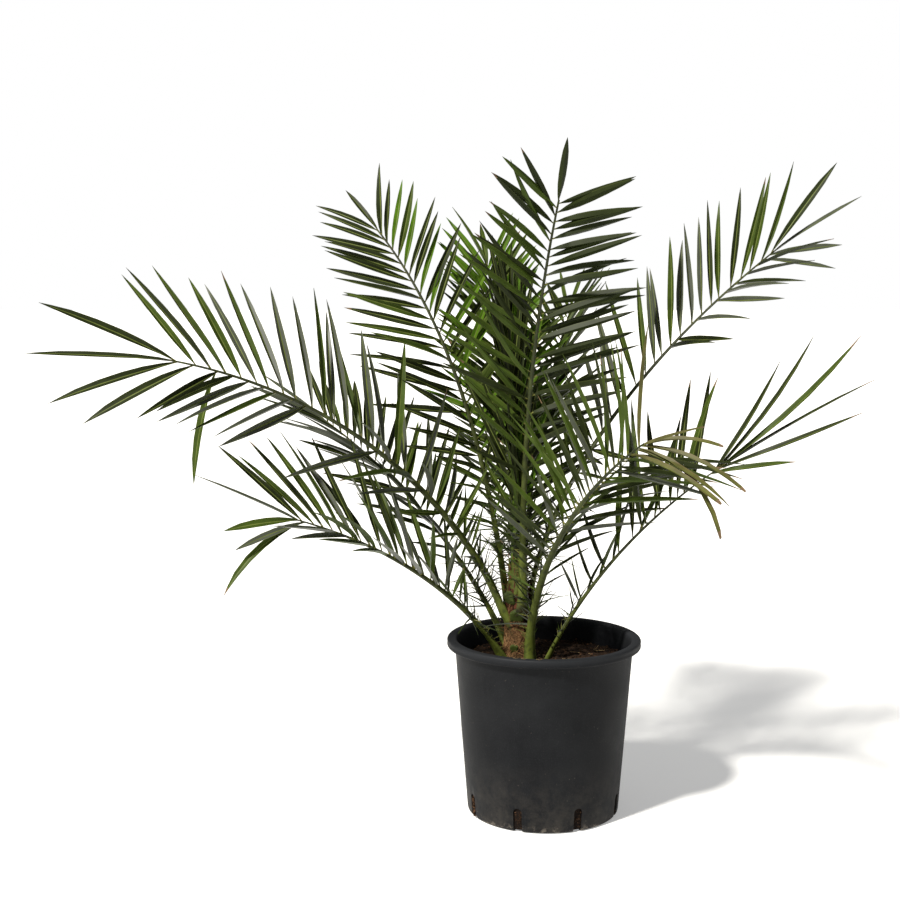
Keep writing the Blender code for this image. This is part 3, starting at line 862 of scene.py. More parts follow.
def leaf_finish(name, colour, edge, spread=0.25, roughness=0.46, specular=0.11):
    """Waxy blade: one green, a little lighter and darker along it, with a paler margin that is partly its own
    colour and partly a painted highlight, and fine grain.
    """
    finish = Finish(name, roughness, specular)
    green = varied(finish, finish.noise(34.0, 3.0, 0.55), 0.30, 0.70, colour, spread)
    # margin lightened: partly the blade's paler edge, partly a painted highlight
    margin = finish.band(finish.attribute("margin"), 0.76, 0.92, 0.0, 0.65)
    return finish.done(finish.mix(margin, green, edge), finish.noise(900.0, 2.0, 0.5), 0.00008, 0.5)


def stalk_finish(settings):
    """Smooth stalk: mottled yellow-green at its foot, darker above, with pale patches and a fine grain."""
    finish = Finish("stalk", 0.50, 0.20)
    colour = finish.ramp(
        finish.attribute("along"),
        (0.004, shade(settings.dry, 0.30)),
        (0.55, settings.rachis),
        (0.024, shade(settings.petiole, 1.15)),
        (0.24, shade(settings.petiole, 0.62)),
    )
    mottle = finish.band(finish.noise(75.0, 4.0, 0.6), 0.46, 0.68, 0.0, 0.85)
    colour = finish.mix(mottle, colour, shade(settings.rachis, 0.50))
    pale = finish.band(finish.noise(30.0, 4.0, 0.6), 0.54, 0.68, 0.0, 0.55)
    colour = finish.mix(pale, colour, shade(settings.midline, 0.95))
    return finish.done(colour, finish.noise(520.0, 2.0, 0.5), 0.00025, 0.5)


def spear_finish(settings):
    """Folded young leaf: upright stripes of yellow-green and dark green, the darkest of them painted shade
    between its folds.
    """
    finish = Finish("spear_skin", 0.45, 0.20)
    stripes = finish.streaks((330.0, 330.0, 6.0), 3.0, 0.5)
    colour = finish.ramp(
        stripes,
        # darkest stripes: painted shade in the gaps between the folded leaflets
        (0.42, shade(settings.deep, 0.45)),
        (0.64, shade(settings.midline, 1.25)),
        (0.52, shade(settings.young, 0.70)),
    )
    return finish.done(colour, stripes, 0.0010)


def make_finishes(scene):
    """Every finish of the plant, once."""
    frond = scene.palm_frond
    trunk = scene.palm_trunk
    made = {
        "pot_plastic": pot_finish(scene.palm_pot),
        "potting_mix": mix_finish(scene.palm_mix),
        "bark_tan": bark_finish("bark_tan", trunk.tan),
        "bark_rust": bark_finish("bark_rust", trunk.rust),
        "stalk": stalk_finish(frond),
        "spear_skin": spear_finish(frond),
    }
    for name, group, key, gain, *rest in FLECKED_FINISHES:
        made[name] = flecked_finish(name, shade(getattr(getattr(scene, group), key), gain), *rest)
    for name, key, edge, gain, *rest in LEAF_FINISHES:
        made[name] = leaf_finish(name, getattr(frond, key), shade(getattr(frond, edge), gain), *rest)
    return made


FINISHES = {}


def finish_of(name):
    if not FINISHES:
        FINISHES.update(make_finishes(bpy.context.scene))
    return FINISHES[name]


# --- Pot ---


def wall_radius(height):
    """Outer radius of the pot's tapered wall at a height."""
    return POT_FOOT_RADIUS + (POT_TOP_RADIUS - POT_FOOT_RADIUS) * height / (POT_HIGH.z - LIP_HEIGHT)


def inner_radius(height):
    """Inner radius of the pot's wall at a height."""
    low = wall_radius(POT_FLOOR) - POT_WALL
    high = POT_TOP_RADIUS - POT_WALL
    return low + (high - low) * (height - POT_FLOOR) / (POT_HIGH.z - LIP_ROUND - POT_FLOOR)


def pot_profile(settings):
    """From the middle of the underside, up the wall, over the lip and down to the floor inside."""
    top = settings.height
    lip_foot = top - LIP_HEIGHT
    lip_edge = settings.lip_radius
    inner_top = POT_TOP_RADIUS - POT_WALL
    outline = [(0.060, 0.0005), (0.098, 0.0005), (0.100, 0.0), (POT_FOOT_RADIUS - 0.005, 0.0)]
    outline += [(wall_radius(0.0) - 0.0022, 0.0010), (wall_radius(0.003) - 0.0006, 0.0030)]
    outline += [(wall_radius(height), height) for height in (0.006, 0.060, 0.120, 0.180, 0.240)]
    outline += [(POT_TOP_RADIUS - 0.0004, lip_foot - 0.004), (POT_TOP_RADIUS + 0.0012, lip_foot - 0.0006)]
    outline += [(lip_edge - LIP_ROUND, lip_foot)]
    outline += arc((lip_edge - LIP_ROUND, lip_foot + LIP_ROUND), LIP_ROUND, -60, 0, 3)
    outline += [(lip_edge - 0.0006, lip_foot + 0.0062), (lip_edge - 0.0004, top - 0.0066)]
    outline += arc((lip_edge - LIP_ROUND, top - LIP_ROUND), LIP_ROUND, 0, 90, 5)
    outline += [(inner_top + 0.0045, top - 0.0002), (inner_top + 0.0016, top - 0.0014)]
    outline += [(inner_top, top - LIP_ROUND)]
    outline += [(inner_radius(height), height) for height in (0.240, 0.120, POT_FLOOR)]
    outline += [(0.060, POT_FLOOR)]
    return outline


def slot_heading(number):
    return SLOT_FIRST + 360.0 * number / SLOT_COUNT


def slot_cutter(heading):
    """A block with a rounded top that stands in the wall's foot."""
    clear_selection()
    out, _ = compass(heading)
    middle = out * POT_FOOT_RADIUS
    bpy.ops.mesh.primitive_cube_add(
        size=1.0,
        location=(middle.x, middle.y, SLOT_HEIGHT / 2 - SLOT_OPEN / 2),
        rotation=(0.0, 0.0, math.radians(heading)),
    )
    cutter = bpy.context.object
    cutter.scale = (SLOT_DEPTH, SLOT_WIDTH, SLOT_HEIGHT + SLOT_OPEN)
    bpy.ops.object.transform_apply(location=False, rotation=False, scale=True)
    bpy.ops.object.mode_set(mode="EDIT")
    bpy.ops.mesh.select_all(action="DESELECT")
    form = bmesh.from_edit_mesh(cutter.data)
    top = max(vertex.co.z for vertex in form.verts)
    for edge in form.edges:
        ends = [vertex.co for vertex in edge.verts]
        edge.select = all(abs(end.z - top) < 1e-6 for end in ends) and abs(ends[0].x - ends[1].x) > 0.01
    bmesh.update_edit_mesh(cutter.data)
    bpy.ops.mesh.bevel(offset=SLOT_WIDTH * SLOT_CORNER, segments=6)
    bpy.ops.object.mode_set(mode="OBJECT")
    return cutter


def make_pot(settings):
    pot = turned("pot_shell", pot_profile(settings), settings.sides)
    for number in range(SLOT_COUNT):
        cutter = slot_cutter(slot_heading(number))
        apply_modifier(pot, "BOOLEAN", operation="DIFFERENCE", solver="EXACT", object=cutter)
        bpy.data.objects.remove(cutter, do_unlink=True)
    bevel(pot, settings.edge_round, 50)
    paint(pot, "pot_plastic")
    smooth(pot, 40)
    finish_piece(pot, "pot", "pot")


# --- Potting mix ---


def read_profile(profile, at):
    """A value between the rows of a profile, each with its position first."""
    for (low, start), (high, end) in zip(profile, profile[1:]):
        if at <= high:
            return start + (end - start) * max(0.0, at - low) / (high - low)
    return profile[-1][1]


def mix_height(reach):
    """Height of the mix's surface at a distance from the pot's middle."""
    return read_profile(MIX_PROFILE, reach)


def clod(place, relief):
    """Rise of the lumpy surface over its level, at a place."""
    waves = [share * noise.noise(place * scale + Vector(shift)) for scale, shift, share in CLOD_WAVES]
    return relief * sum(waves)


def make_mix(settings):
    """A turned plug of mix whose top rings carry the clods."""
    edge = inner_radius(MIX_LEVEL) - CLEARANCE
    floor = POT_FLOOR + CLEARANCE
    profile = [(0.06, floor)]
    profile += [(inner_radius(height) - CLEARANCE, height) for height in (floor, 0.045, 0.13, 0.21)]
    profile += [(edge, MIX_LEVEL - 0.004)]
    for ring in range(MIX_RINGS):
        reach = edge * (1.0 - ring / MIX_RINGS)
        profile.append((reach, mix_height(reach)))
    profile.append((edge * 0.004, MIX_CROWN))
    mix = turned("potting_mix_clods", profile, MIX_SIDES)
    still = MIX_LEVEL - 0.003
    for vertex in mix.data.vertices:
        if vertex.co.z > still:
            reach = math.hypot(vertex.co.x, vertex.co.y)
            calm = min(1.0, max(0.0, (edge - reach) / MIX_CALM_RIM))
            vertex.co.z += clod(Vector(vertex.co), settings.relief) * calm - MIX_SINK
    paint(mix, "potting_mix")
    smooth(mix, 60)
    finish_piece(mix, "mix", "potting_mix")


def lump(place, size, dice, flatness=1.0):
    """A rough crumb: a squashed eight-faced stone with its corners pushed about."""
    turn = Matrix.Rotation(dice.uniform(0.0, math.tau), 3, "Z")
    turn @= Matrix.Rotation(dice.uniform(-0.8, 0.8), 3, "X")
    corners = []
    for axis in range(3):
        for sign in (-1.0, 1.0):
            corner = Vector((0.0, 0.0, 0.0))
            corner[axis] = sign * size * dice.uniform(0.6, 1.1)
            corner[(axis + 1) % 3] += size * dice.uniform(-0.25, 0.25)
            corner.z *= flatness
            corners.append(place + turn @ corner)
    return corners, LUMP_FACES


def straw_course(start, heading, length, lift, dice, steps=6):
    """A thin strand's bent course."""
    course = [start]
    turn = heading
    for _ in range(steps):
        turn += dice.uniform(-16.0, 16.0)
        step = compass(turn)[0] * (length / steps)
        course.append(course[-1] + step + UP * (dice.uniform(-0.6, 0.7) * lift))
    return course


def strewn(dice, limit):
    """A place on the mix, within a distance of the pot's middle."""
    reach = limit * math.sqrt(dice.random())
    return compass(dice.uniform(0.0, 360.0))[0] * reach + UP * mix_height(reach)


def make_litter(settings):
    """Crumbs, bark chips and straws on the mix, a few on the lip, and crumbs in the slots."""
    dice = random.Random(SEED + 1)
    litter = Bundle(("chip_dark", "chip_brown", "straw"))
    for _ in range(settings.chips):
        place = strewn(dice, CHIP_REACH)
        place.z += clod(place, settings.relief) + CHIP_LIFT
        size = dice.choice(CHIP_SIZES)
        colour = "chip_brown" if dice.random() < BROWN_CHIPS else "chip_dark"
        litter.add(*lump(place, size, dice, dice.uniform(0.4, 0.9)), colour)
    for _ in range(settings.straws):
        place = strewn(dice, STRAW_REACH) + UP * STRAW_LIFT
        heading = dice.uniform(0.0, 360.0)
        course = straw_course(place, heading, dice.uniform(*STRAW_LENGTHS), STRAW_BEND, dice)
        course = [point for point in course if math.hypot(point.x, point.y) < STRAW_LIMIT]
        if len(course) > 2:
            radius = dice.uniform(*STRAW_RADII)
            litter.thread(course, radius, "straw" if dice.random() < PALE_STRAWS else "chip_brown")
    for heading in LIP_STRAWS:
        out, side = compass(heading)
        place = out * (POT_HIGH.x - 0.008) + UP * (POT_HIGH.z + 0.0004)
        course = [place, place + side * 0.006 + out * 0.002, place + side * 0.010 - out * 0.001]
        litter.thread(course, LIP_STRAW_RADIUS, "straw")
    for number in range(SLOT_COUNT):
        out, side = compass(slot_heading(number))
        for _ in range(SLOT_CRUMBS):
            height = dice.uniform(0.005, SLOT_HEIGHT - 0.006)
            across = dice.uniform(-0.45, 0.45) * SLOT_WIDTH
            place = out * (inner_radius(height) - dice.uniform(0.0, 0.0015)) + side * across
            place.z = height
            colour = "chip_brown" if dice.random() < (0.5 if number == TORN_SLOT else 0.08) else "chip_dark"
            litter.add(*lump(place, dice.uniform(*SLOT_CRUMB_SIZES), dice), colour)
    out, side = compass(slot_heading(TORN_SLOT))
    for _ in range(BULGE_CRUMBS):
        height = dice.uniform(0.004, SLOT_HEIGHT - 0.004)
        place = out * (wall_radius(height) + dice.uniform(-0.0030, 0.0008))
        place += side * dice.uniform(-0.3, 0.3) * SLOT_WIDTH
        place.z = height
        crumb = lump(place, dice.uniform(*BULGE_CRUMB_SIZES), dice)
        litter.add(*crumb, dice.choice(("chip_brown", "chip_dark")))
    finish_piece(litter.build("mix_litter"), "mix")


# --- Trunk ---


def trunk_radius(height):
    """Radius of the trunk at a height over the mix."""
    return read_profile(TRUNK_PROFILE, height)


def on_trunk(heading, height, proud=0.0):
    """A place on the trunk's skin."""
    return TRUNK_PLACE + compass(heading)[0] * (trunk_radius(height) + proud) + UP * height


def make_trunk(settings):
    """Fluted, matted trunk with tan fibre at its foot and red-brown fibre above."""
    heights = [TRUNK_TOP * ring / TRUNK_RINGS for ring in range(TRUNK_RINGS + 1)]
    profile = [(trunk_radius(height), TRUNK_PLACE.z + height) for height in heights]
    profile += [(TRUNK_PROFILE[-1][1] * 0.4, TRUNK_PLACE.z + TRUNK_TOP)]
    trunk = turned("trunk_bark", profile, TRUNK_SIDES, TRUNK_PLACE[:2])
    for vertex in trunk.data.vertices:
        away = Vector(vertex.co) - TRUNK_PLACE
        height = away.z
        away.z = 0.0
        if height <= 0.0005 or away.length < 0.002:
            continue
        x, y, z = vertex.co
        flutes = noise.noise(Vector((x * 190.0, y * 190.0, z * 45.0)))
        strands = noise.noise(Vector((x * 620.0, y * 620.0, z * 160.0)))
        vertex.co -= away.normalized() * settings.relief * (0.30 + 0.45 * flutes + 0.35 * strands)
    paint(trunk, "bark_tan", "bark_rust")
    for face in trunk.data.polygons:
        wave = 0.006 * noise.noise(Vector(face.center) * 90.0)
        face.material_index = int(face.center.z - TRUNK_PLACE.z + wave > TAN_TOP)
    smooth(trunk, 60)
    finish_piece(trunk, "trunk", "trunk")


def make_fibres(settings):
    """A crossed net of fibres wound round the trunk, and hairs that stand off it."""
    dice = random.Random(SEED + 2)
    fibres = Bundle(("fibre_tan", "fibre_rust", "fibre_dark"))
    for _ in range(settings.net_fibres):
        low = dice.uniform(*NET_STARTS)
        rise = dice.uniform(*NET_RISES)
        sweep = dice.choice((-1.0, 1.0)) * dice.uniform(*NET_SWEEPS)
        start = dice.uniform(0.0, 360.0)
        proud = dice.uniform(0.0, NET_PROUD)
        course = []
        for step in range(NET_STEPS + 1):
            share = step / NET_STEPS
            height = low + rise * share + dice.uniform(-0.0008, 0.0008)
            height = min(NET_HIGHEST, max(NET_LOWEST, height))
            course.append(on_trunk(start + sweep * share, height, proud + dice.uniform(-0.0002, 0.0005)))
        colour = dice.choice(FOOT_FIBRES if low < TAN_NET_TOP else TOP_FIBRES)
        fibres.thread(course, settings.fibre_radius * dice.uniform(0.7, 1.4), colour)
    for _ in range(settings.loose_fibres):
        height = dice.uniform(*HAIR_STARTS)
        heading = dice.uniform(0.0, 360.0)
        out, side = compass(heading)
        way = (out * dice.uniform(0.3, 1.0) + side * dice.uniform(-0.9, 0.9)).normalized()
        way.z = dice.uniform(-0.2, 1.0)
        length = dice.uniform(*HAIR_LENGTHS)
        course = [on_trunk(heading, height, -HAIR_SINK)]
        for step in range(HAIR_STEPS):
            bend = Vector((dice.uniform(-0.3, 0.3), dice.uniform(-0.3, 0.3), dice.uniform(-0.4, 0.2)))
            course.append(course[-1] + (way + bend * step * 0.5) * (length / HAIR_STEPS))
        if min(point.z for point in course) > TRUNK_PLACE.z:
            colour = "fibre_tan" if height < TAN_TOP else dice.choice(LOOSE_FIBRES)
            fibres.thread(course, settings.fibre_radius * 0.8, colour)
    finish_piece(fibres.build("trunk_fibres"), "trunk")


def sheath_rings(out, side, low, length, half, lean):
    """Rings of a pointed scale that hugs the trunk and leans off it towards its point."""
    rings = []
    for step in range(SHEATH_STEPS):
        share = step / (SHEATH_STEPS - 1)
        height = low + length * share
        reach = trunk_radius(min(height, TRUNK_TOP)) + 0.0016 - 0.0030 * max(0.0, share - 0.2)
        reach += lean * length * share**2
        wide = half * (1.0 - share**1.8) + 0.0004
        centre = TRUNK_PLACE + UP * height
        ring = []
        for across, proud in SHEATH_SECTION:
            hug = (wide * across) ** 2 / (2.0 * max(0.010, reach))
            ring.append(centre + out * (reach + proud * (1.0 - 0.6 * share) - hug) + side * wide * across)
        rings.append(ring)
    return rings


def make_sheaths():
    """Pointed remains of leaf sheaths, upright round the heart of the crown, with brown fibrous edges."""
    dice = random.Random(SEED + 5)
    sheaths = Bundle(("sheath_green", "sheath_brown", "fibre_rust"))
    for number in range(SHEATH_COUNT):
        out, side = compass(GOLDEN_ANGLE * number + dice.uniform(-12.0, 12.0))
        tier = number / SHEATH_COUNT
        low = TRUNK_TOP - SHEATH_DROP + SHEATH_TIERS * tier
        length = dice.uniform(*SHEATH_LENGTHS)
        half = dice.uniform(*SHEATH_HALVES)
        rings = sheath_rings(out, side, low, length, half, dice.uniform(0.0, SHEATH_LEAN))
        brown = dice.random() < 0.35 or tier < 0.30
        finishes = ["sheath_brown"]
        for row in range(SHEATH_STEPS - 1):
            for edge in range(len(SHEATH_SECTION)):
                dry = brown or row == SHEATH_STEPS - 2 or edge in (0, 3) and dice.random() < 0.5
                finishes.append("sheath_brown" if dry else "sheath_green")
        sheaths.add(*loft(rings), finishes + ["sheath_brown"])
        for _ in range(SHEATH_THREADS):
            start = rings[dice.randrange(2, 6)][dice.choice((0, 4))]
            way = (side * dice.uniform(-0.8, 0.8) + out * dice.uniform(0.2, 0.9)).normalized()
            way.z = dice.uniform(-0.4, 1.0)
            length = dice.uniform(*HAIR_LENGTHS)
            course = [start + way * length * t + UP * (-0.3 * length * t * t) for t in (0.0, 0.3, 0.7, 1.0)]
            sheaths.thread(course, SHEATH_THREAD_RADIUS, "fibre_rust")
    finish_piece(sheaths.build("crown_sheaths", 40), "trunk")


def make_cut_base(number, heading, height, width):
    """A leaf base sawn off: a half-moon shield against the trunk, with a sunk, fibrous cut top."""
    piece = start_disc(f"cut_base_{number}", 32, 1.0, (0.0, 0.0, 0.0))
    bpy.ops.transform.resize(value=(width / 2, STUMP_THICKNESS / 2, 1.0), center_override=(0.0, 0.0, 0.0))
    for _ in range(CUT_BASE_ROWS):
        extrude(STUMP_LENGTH / CUT_BASE_ROWS)
    bpy.ops.mesh.inset(thickness=0.0009, depth=0.0)
    bpy.ops.mesh.inset(thickness=0.0006, depth=-0.0011)
    bpy.ops.object.mode_set(mode="OBJECT")
    out, left = compass(heading)
    along = sloped(out, STUMP_RISE)
    up = along.cross(left)
    root = TRUNK_PLACE + out * STUMP_ROOT + UP * height
    for vertex in piece.data.vertices:
        across, thick, far = vertex.co
        share = min(1.0, max(0.0, far / STUMP_LENGTH))
        shield = math.sqrt(max(0.0, 1.0 - (1.0 - share) ** 2.2))
        across *= (0.55 + 0.45 * shield) * (1.0 - 0.06 * share)
        side = abs(across) / (width / 2)
        thick *= 0.70 + 0.30 * shield
        far -= 0.20 * STUMP_LENGTH * share * side * side
        wrap = STUMP_THICKNESS * 0.30 * side * side
        vertex.co = root + left * across + up * (thick - wrap) + along * far
    paint(piece, "cut_skin", "cut_face")
    for face in piece.data.polygons:
        near_end = (Vector(face.center) - root).dot(along) > STUMP_LENGTH * 0.70
        face.material_index = int(near_end and face.normal.dot(along) > 0.8)
    turn_outwards(piece)
    bevel(piece, 0.0006, 45)
    smooth(piece, 40)
    finish_piece(piece, "stump", f"cut_leaf_base_{number}")


# --- Fronds ---


class Midrib:
    """A frond's midrib: its places, directions and side vectors by share of its length."""

    def __init__(self, frond):
        self.frond = frond
        out, self.side = compass(frond.heading)
        slopes = [(step / RIB_STEPS) ** frond.bend for step in range(RIB_STEPS + 1)]
        self.ways = [sloped(out, frond.rise + (frond.end - frond.rise) * share) for share in slopes]
        self.points = [TRUNK_PLACE + out * frond.foot + UP * frond.height]
        for before, after in zip(self.ways, self.ways[1:]):
            self.points.append(self.points[-1] + (before + after) * (frond.length / RIB_STEPS / 2))

    def near(self, share):
        """The steps on both sides of a share of the length, and how far between them it is."""
        spot = share * RIB_STEPS
        low = min(int(spot), RIB_STEPS - 1)
        return low, low + 1, spot - low

    def at(self, share):
        """Place, direction, left and up at a share of the length."""
        low, high, t = self.near(share)
        way = self.ways[low].lerp(self.ways[high], t).normalized()
        return self.points[low].lerp(self.points[high], t), way, *self.rolled(way, 1.0)

    def rolled(self, way, share_of_roll):
        up = way.cross(self.side)
        roll = math.radians(self.frond.roll) * share_of_roll
        return towards(self.side, up, roll), towards(up, -self.side, roll)

    def eased(self, share):
        """As at, but on a smooth curve, and turned into the frond's roll above the petiole's foot."""
        low, high, t = self.near(share)
        reach = self.frond.length / RIB_STEPS
        place = (
            self.points[low] * (2 * t**3 - 3 * t**2 + 1)
            + self.ways[low] * reach * (t**3 - 2 * t**2 + t)
            + self.points[high] * (3 * t**2 - 2 * t**3)
            + self.ways[high] * reach * (t**3 - t**2)
        )
        way = self.ways[low].lerp(self.ways[high], t).normalized()
        settle = min(1.0, share / max(0.02, self.frond.petiole))
        return place, way, *self.rolled(way, settle * settle * (3.0 - 2.0 * settle))

    def half_width(self, share):
        taper = self.frond.half_width + (RIB_END_HALF - self.frond.half_width) * share**RIB_TAPER
        sheath = max(0.0, 1.0 - share / SHEATH_SHARE)
        return taper * (1.0 + self.frond.flare * sheath)

    def tube(self, grow):
        """The plain tube that leaflets are kept clear of."""
        rings = []
        for step, place in enumerate(self.points):
            up = self.ways[step].cross(self.side)
            half = self.half_width(step / RIB_STEPS)
            thick = half * self.frond.flatness + grow
            rings.append(oval(place, self.side * (half + grow), up * thick, RIB_SIDES))
        return loft(rings)


def tree_of(points, faces):
    return BVHTree.FromPolygons([tuple(point) for point in points], faces)


def tree_of_node(name):
    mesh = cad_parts[name].data
    return tree_of([vertex.co for vertex in mesh.vertices], [tuple(face.vertices) for face in mesh.polygons])


def plain_blade(root, way, across, length, grow):
    """The coarse leaflet that is tried for room before the fine one is made."""
    below = way.cross(across).normalized()
    fullness = SPINE_WIDTH_SHARE + (1.0 - SPINE_WIDTH_SHARE) * length / FULL_WIDTH_LENGTH
    half = LEAF_WIDTH / 2 * min(1.0, fullness) + grow
    middle = root + way * length * LEAF_WIDEST
    points = (
        root - below * (LEAF_ROOT / 2 + grow),
        root + below * (LEAF_ROOT / 2 + grow),
        middle + across * half - below * grow,
        middle - across * half - below * grow,
        middle + below * (LEAF_KEEL + grow),
        root + way * (length + TIP_REACH * grow),
    )
    faces = ((0, 2, 3), (2, 5, 3), (1, 4, 2), (1, 3, 4), (4, 5, 2), (4, 3, 5), (0, 1, 2), (0, 3, 1))
    return points, faces


@dataclass
class Leaflet:
    """One leaflet's course: where it starts and points, which way it faces, and which rank it is of."""

    place: Vector
    way: Vector
    across: Vector
    length: float
    facing: Vector
    along: float
    sign: int
    bow: float = None
    roll: float = None

    def tree(self):
        """The coarse leaflet, with the clearance kept round it."""
        return tree_of(*plain_blade(self.place, self.way, self.across, self.length, LEAF_CLEAR))


def leaf_way(midrib, share, along, sign, rank, turn):
    """Place, direction, width vector and facing of one leaflet; turn adds spread and lift."""
    place, way, left, up = midrib.at(share)
    spread = math.radians(rank.spread[0] + (rank.spread[1] - rank.spread[0]) * along**NARROWING + turn[0])
    lift = math.radians(rank.lift[0] + (rank.lift[1] - rank.lift[0]) * along + turn[1])
    leaf = towards(way, towards(left * sign, up, lift), spread)
    across = (way - leaf * way.dot(leaf)).normalized()
    return place, leaf, across, leaf.cross(across) * -sign


def leaf_length(frond, along):
    young = min(1.0, SHORTEST_SHARE + (1.0 - SHORTEST_SHARE) * along / YOUNG_SHARE)
    return frond.leaf * young * (1.0 + (frond.end_leaf - 1.0) * along)


def is_bare(rank, along):
    return any(low <= along <= high for low, high in rank.bare)


def paired_leaflets(midrib, obstacles, dice):
    """Leaflets by pairs up the midrib, each turned aside until it touches nothing."""
    frond = midrib.frond
    spray = SPRAYS[frond.name]
    found = []
    pairs = round(frond.pairs * spray.finer)
    for pair in range(pairs):
        along = (pair + 0.5) / pairs
        loose = 1.0 + LOW_SCATTER * (1.0 - along)
        lean = frond.stagger * (1 if pair % 2 else -1) * (1.0 - along)
        fan = spray.fan if pair % 3 == 1 else (0.0, 0.0)
        for sign, rank, drawn_in in ((1, frond.left, fan[0]), (-1, frond.right, fan[1])):
            pitch = sign * RANK_OFFSET + dice.uniform(-PITCH_SCATTER, PITCH_SCATTER)
            share = frond.petiole + (1.0 - frond.petiole) * (along + pitch / pairs)
            length = leaf_length(frond, along) * dice.uniform(*LENGTH_SCATTER)
            swing = dice.uniform(-SPREAD_SCATTER, SPREAD_SCATTER) * loose - drawn_in
            tilt = lean + dice.uniform(-LIFT_SCATTER, LIFT_SCATTER) * loose
            if is_bare(rank, along):
                continue
            for turn in STEERING:
                course = leaf_way(midrib, share, along, sign, rank, (turn[0] + swing, turn[1] + tilt))
                leaflet = Leaflet(*course[:3], length, course[3], along, sign)
                tree = leaflet.tree()
                if not any(tree.overlap(other) for other in obstacles):
                    found.append(leaflet)
                    break
    return found


def loose_leaflets(midrib):
    """The leaflet that ends the midrib, and those out of rank."""
    frond = midrib.frond
    place, way, left, up = midrib.at(1.0)
    tip_way = towards(way, way.cross(midrib.side), math.radians(frond.tip_turn))
    found = [Leaflet(place - way * TIP_SINK, tip_way, left, frond.tip_leaf, up, 1.0, 1, 0.01, 0.0)]
    roll, rows = LOOSE_LEAVES.get(frond.name, (0, ()))
    for share, heading, slope, length, bow in rows:
        out, side = compass(heading)
        way = sloped(out, slope)
        root = midrib.at(share)[0]
        found.append(Leaflet(root, way, side, length, way.cross(side), share, 1, bow, roll))
    return found


def blade_rings(leaflet, midrib, settings, dice, stations):
    """Rings of a folded blade: left edge, keel, right edge and the two sides of the crease."""
    fullness = 1.0 if leaflet.roll is not None else min(1.0, (leaflet.length / FULL_BLADE_LENGTH) ** 1.5)
    spread = SPRAYS[midrib.frond.name].wide[0 if leaflet.sign > 0 else 1] * dice.uniform(*WIDTH_SCATTER)
    half = settings.blade_width / 2 * max(LEAST_FULLNESS, fullness) * spread
    if leaflet.along >= 1.0:
        half *= TIP_NARROWING
    arch = settings.arch * dice.uniform(*ARCH_SCATTER) if leaflet.bow is None else leaflet.bow
    sway = dice.uniform(-SWAY_SCATTER, SWAY_SCATTER)
    twist = math.radians(dice.uniform(-TWIST_SCATTER, TWIST_SCATTER))
    roll = math.radians(dice.uniform(-settings.roll, settings.roll) if leaflet.roll is None else leaflet.roll)
    sink = min(leaflet.length * 0.02, 0.6 * midrib.half_width(min(1.0, leaflet.along)))
    rings = []
    for share, wide, fold in stations:
        bow = 4.0 * share * (1.0 - share)
        centre = leaflet.place + leaflet.way * (sink + (leaflet.length - sink) * share)
        centre += (leaflet.facing * arch + leaflet.across * sway) * leaflet.length * bow
        turn = roll + twist * (share - 0.3)
        side = towards(leaflet.across, leaflet.facing, turn)
        rise = towards(leaflet.facing, -leaflet.across, turn)
        width = half * wide
        edge = side * width * math.cos(math.radians(fold))
        lift = rise * width * math.sin(math.radians(fold))
        crease = side * width * CREASE_SHARE
        top = rise * BLADE_THICKNESS * 0.5
        keel = rise * -BLADE_THICKNESS * (1.5 - share)
        corners = (lift - edge, keel, edge + lift, crease + top, top - crease)
        rings.append([centre + corner for corner in corners])
    return rings


def blade_finishes(leaf, rings, dry):
    """A finish for each face of a lofted blade."""
    tip = "leaf_dry" if dry else leaf
    rows = len(rings) - 1
    finishes = ["leaf_base"] * 6
    for row in range(1, rows):
        at_tip = row == rows - 1
        face = tip if at_tip else leaf
        finishes += [face, face, face, face if at_tip else "leaf_rib", face]
    return finishes + [tip]


def make_leaflets(midrib, leaflets, settings, slot, dice):
    name = midrib.frond.name
    spray = SPRAYS[name]
    blades = Bundle(LEAF_SLOTS)
    for leaflet in leaflets:
        at_end = leaflet.along > spray.end_from
        greens = spray.end if spray.end and at_end else spray.left if leaflet.sign > 0 else spray.right
        leaf = "leaf_" + dice.choice(greens.split())
        blunt = at_end and dice.random() < spray.blunt
        dry = dice.random() < spray.dry * (0.4 + leaflet.along)
        outline = STRAP_BLADE if leaflet.roll is not None else BLADE
        rings = blade_rings(leaflet, midrib, settings, dice, BLUNT_BLADE if blunt else outline)
        margins = [1.0, 0.0, 1.0, 0.0, 0.0] * len(rings)
        blades.add(*loft(rings), blade_finishes(leaf, rings, dry or blunt), margins)
    title = name.replace("frond_", "leaflets_") if midrib.frond is not SPEAR else "spear_leaflets"
    finish_piece(blades.build(title, 24), slot, name)


def foot_place(midrib, depth):
    """A stalk's broad foot, below its lowest point: it bends down the trunk and sinks into it."""
    place, way, left, up = midrib.eased(0.0)
    out, _ = compass(midrib.frond.heading)
    sunk = depth / FOOT_DEPTH
    lean = max(0.0, math.cos(math.radians(midrib.frond.rise))) * depth
    return place - way * depth - out * (FOOT_SINK * sunk * sunk - lean * 0.5 * sunk), left, up


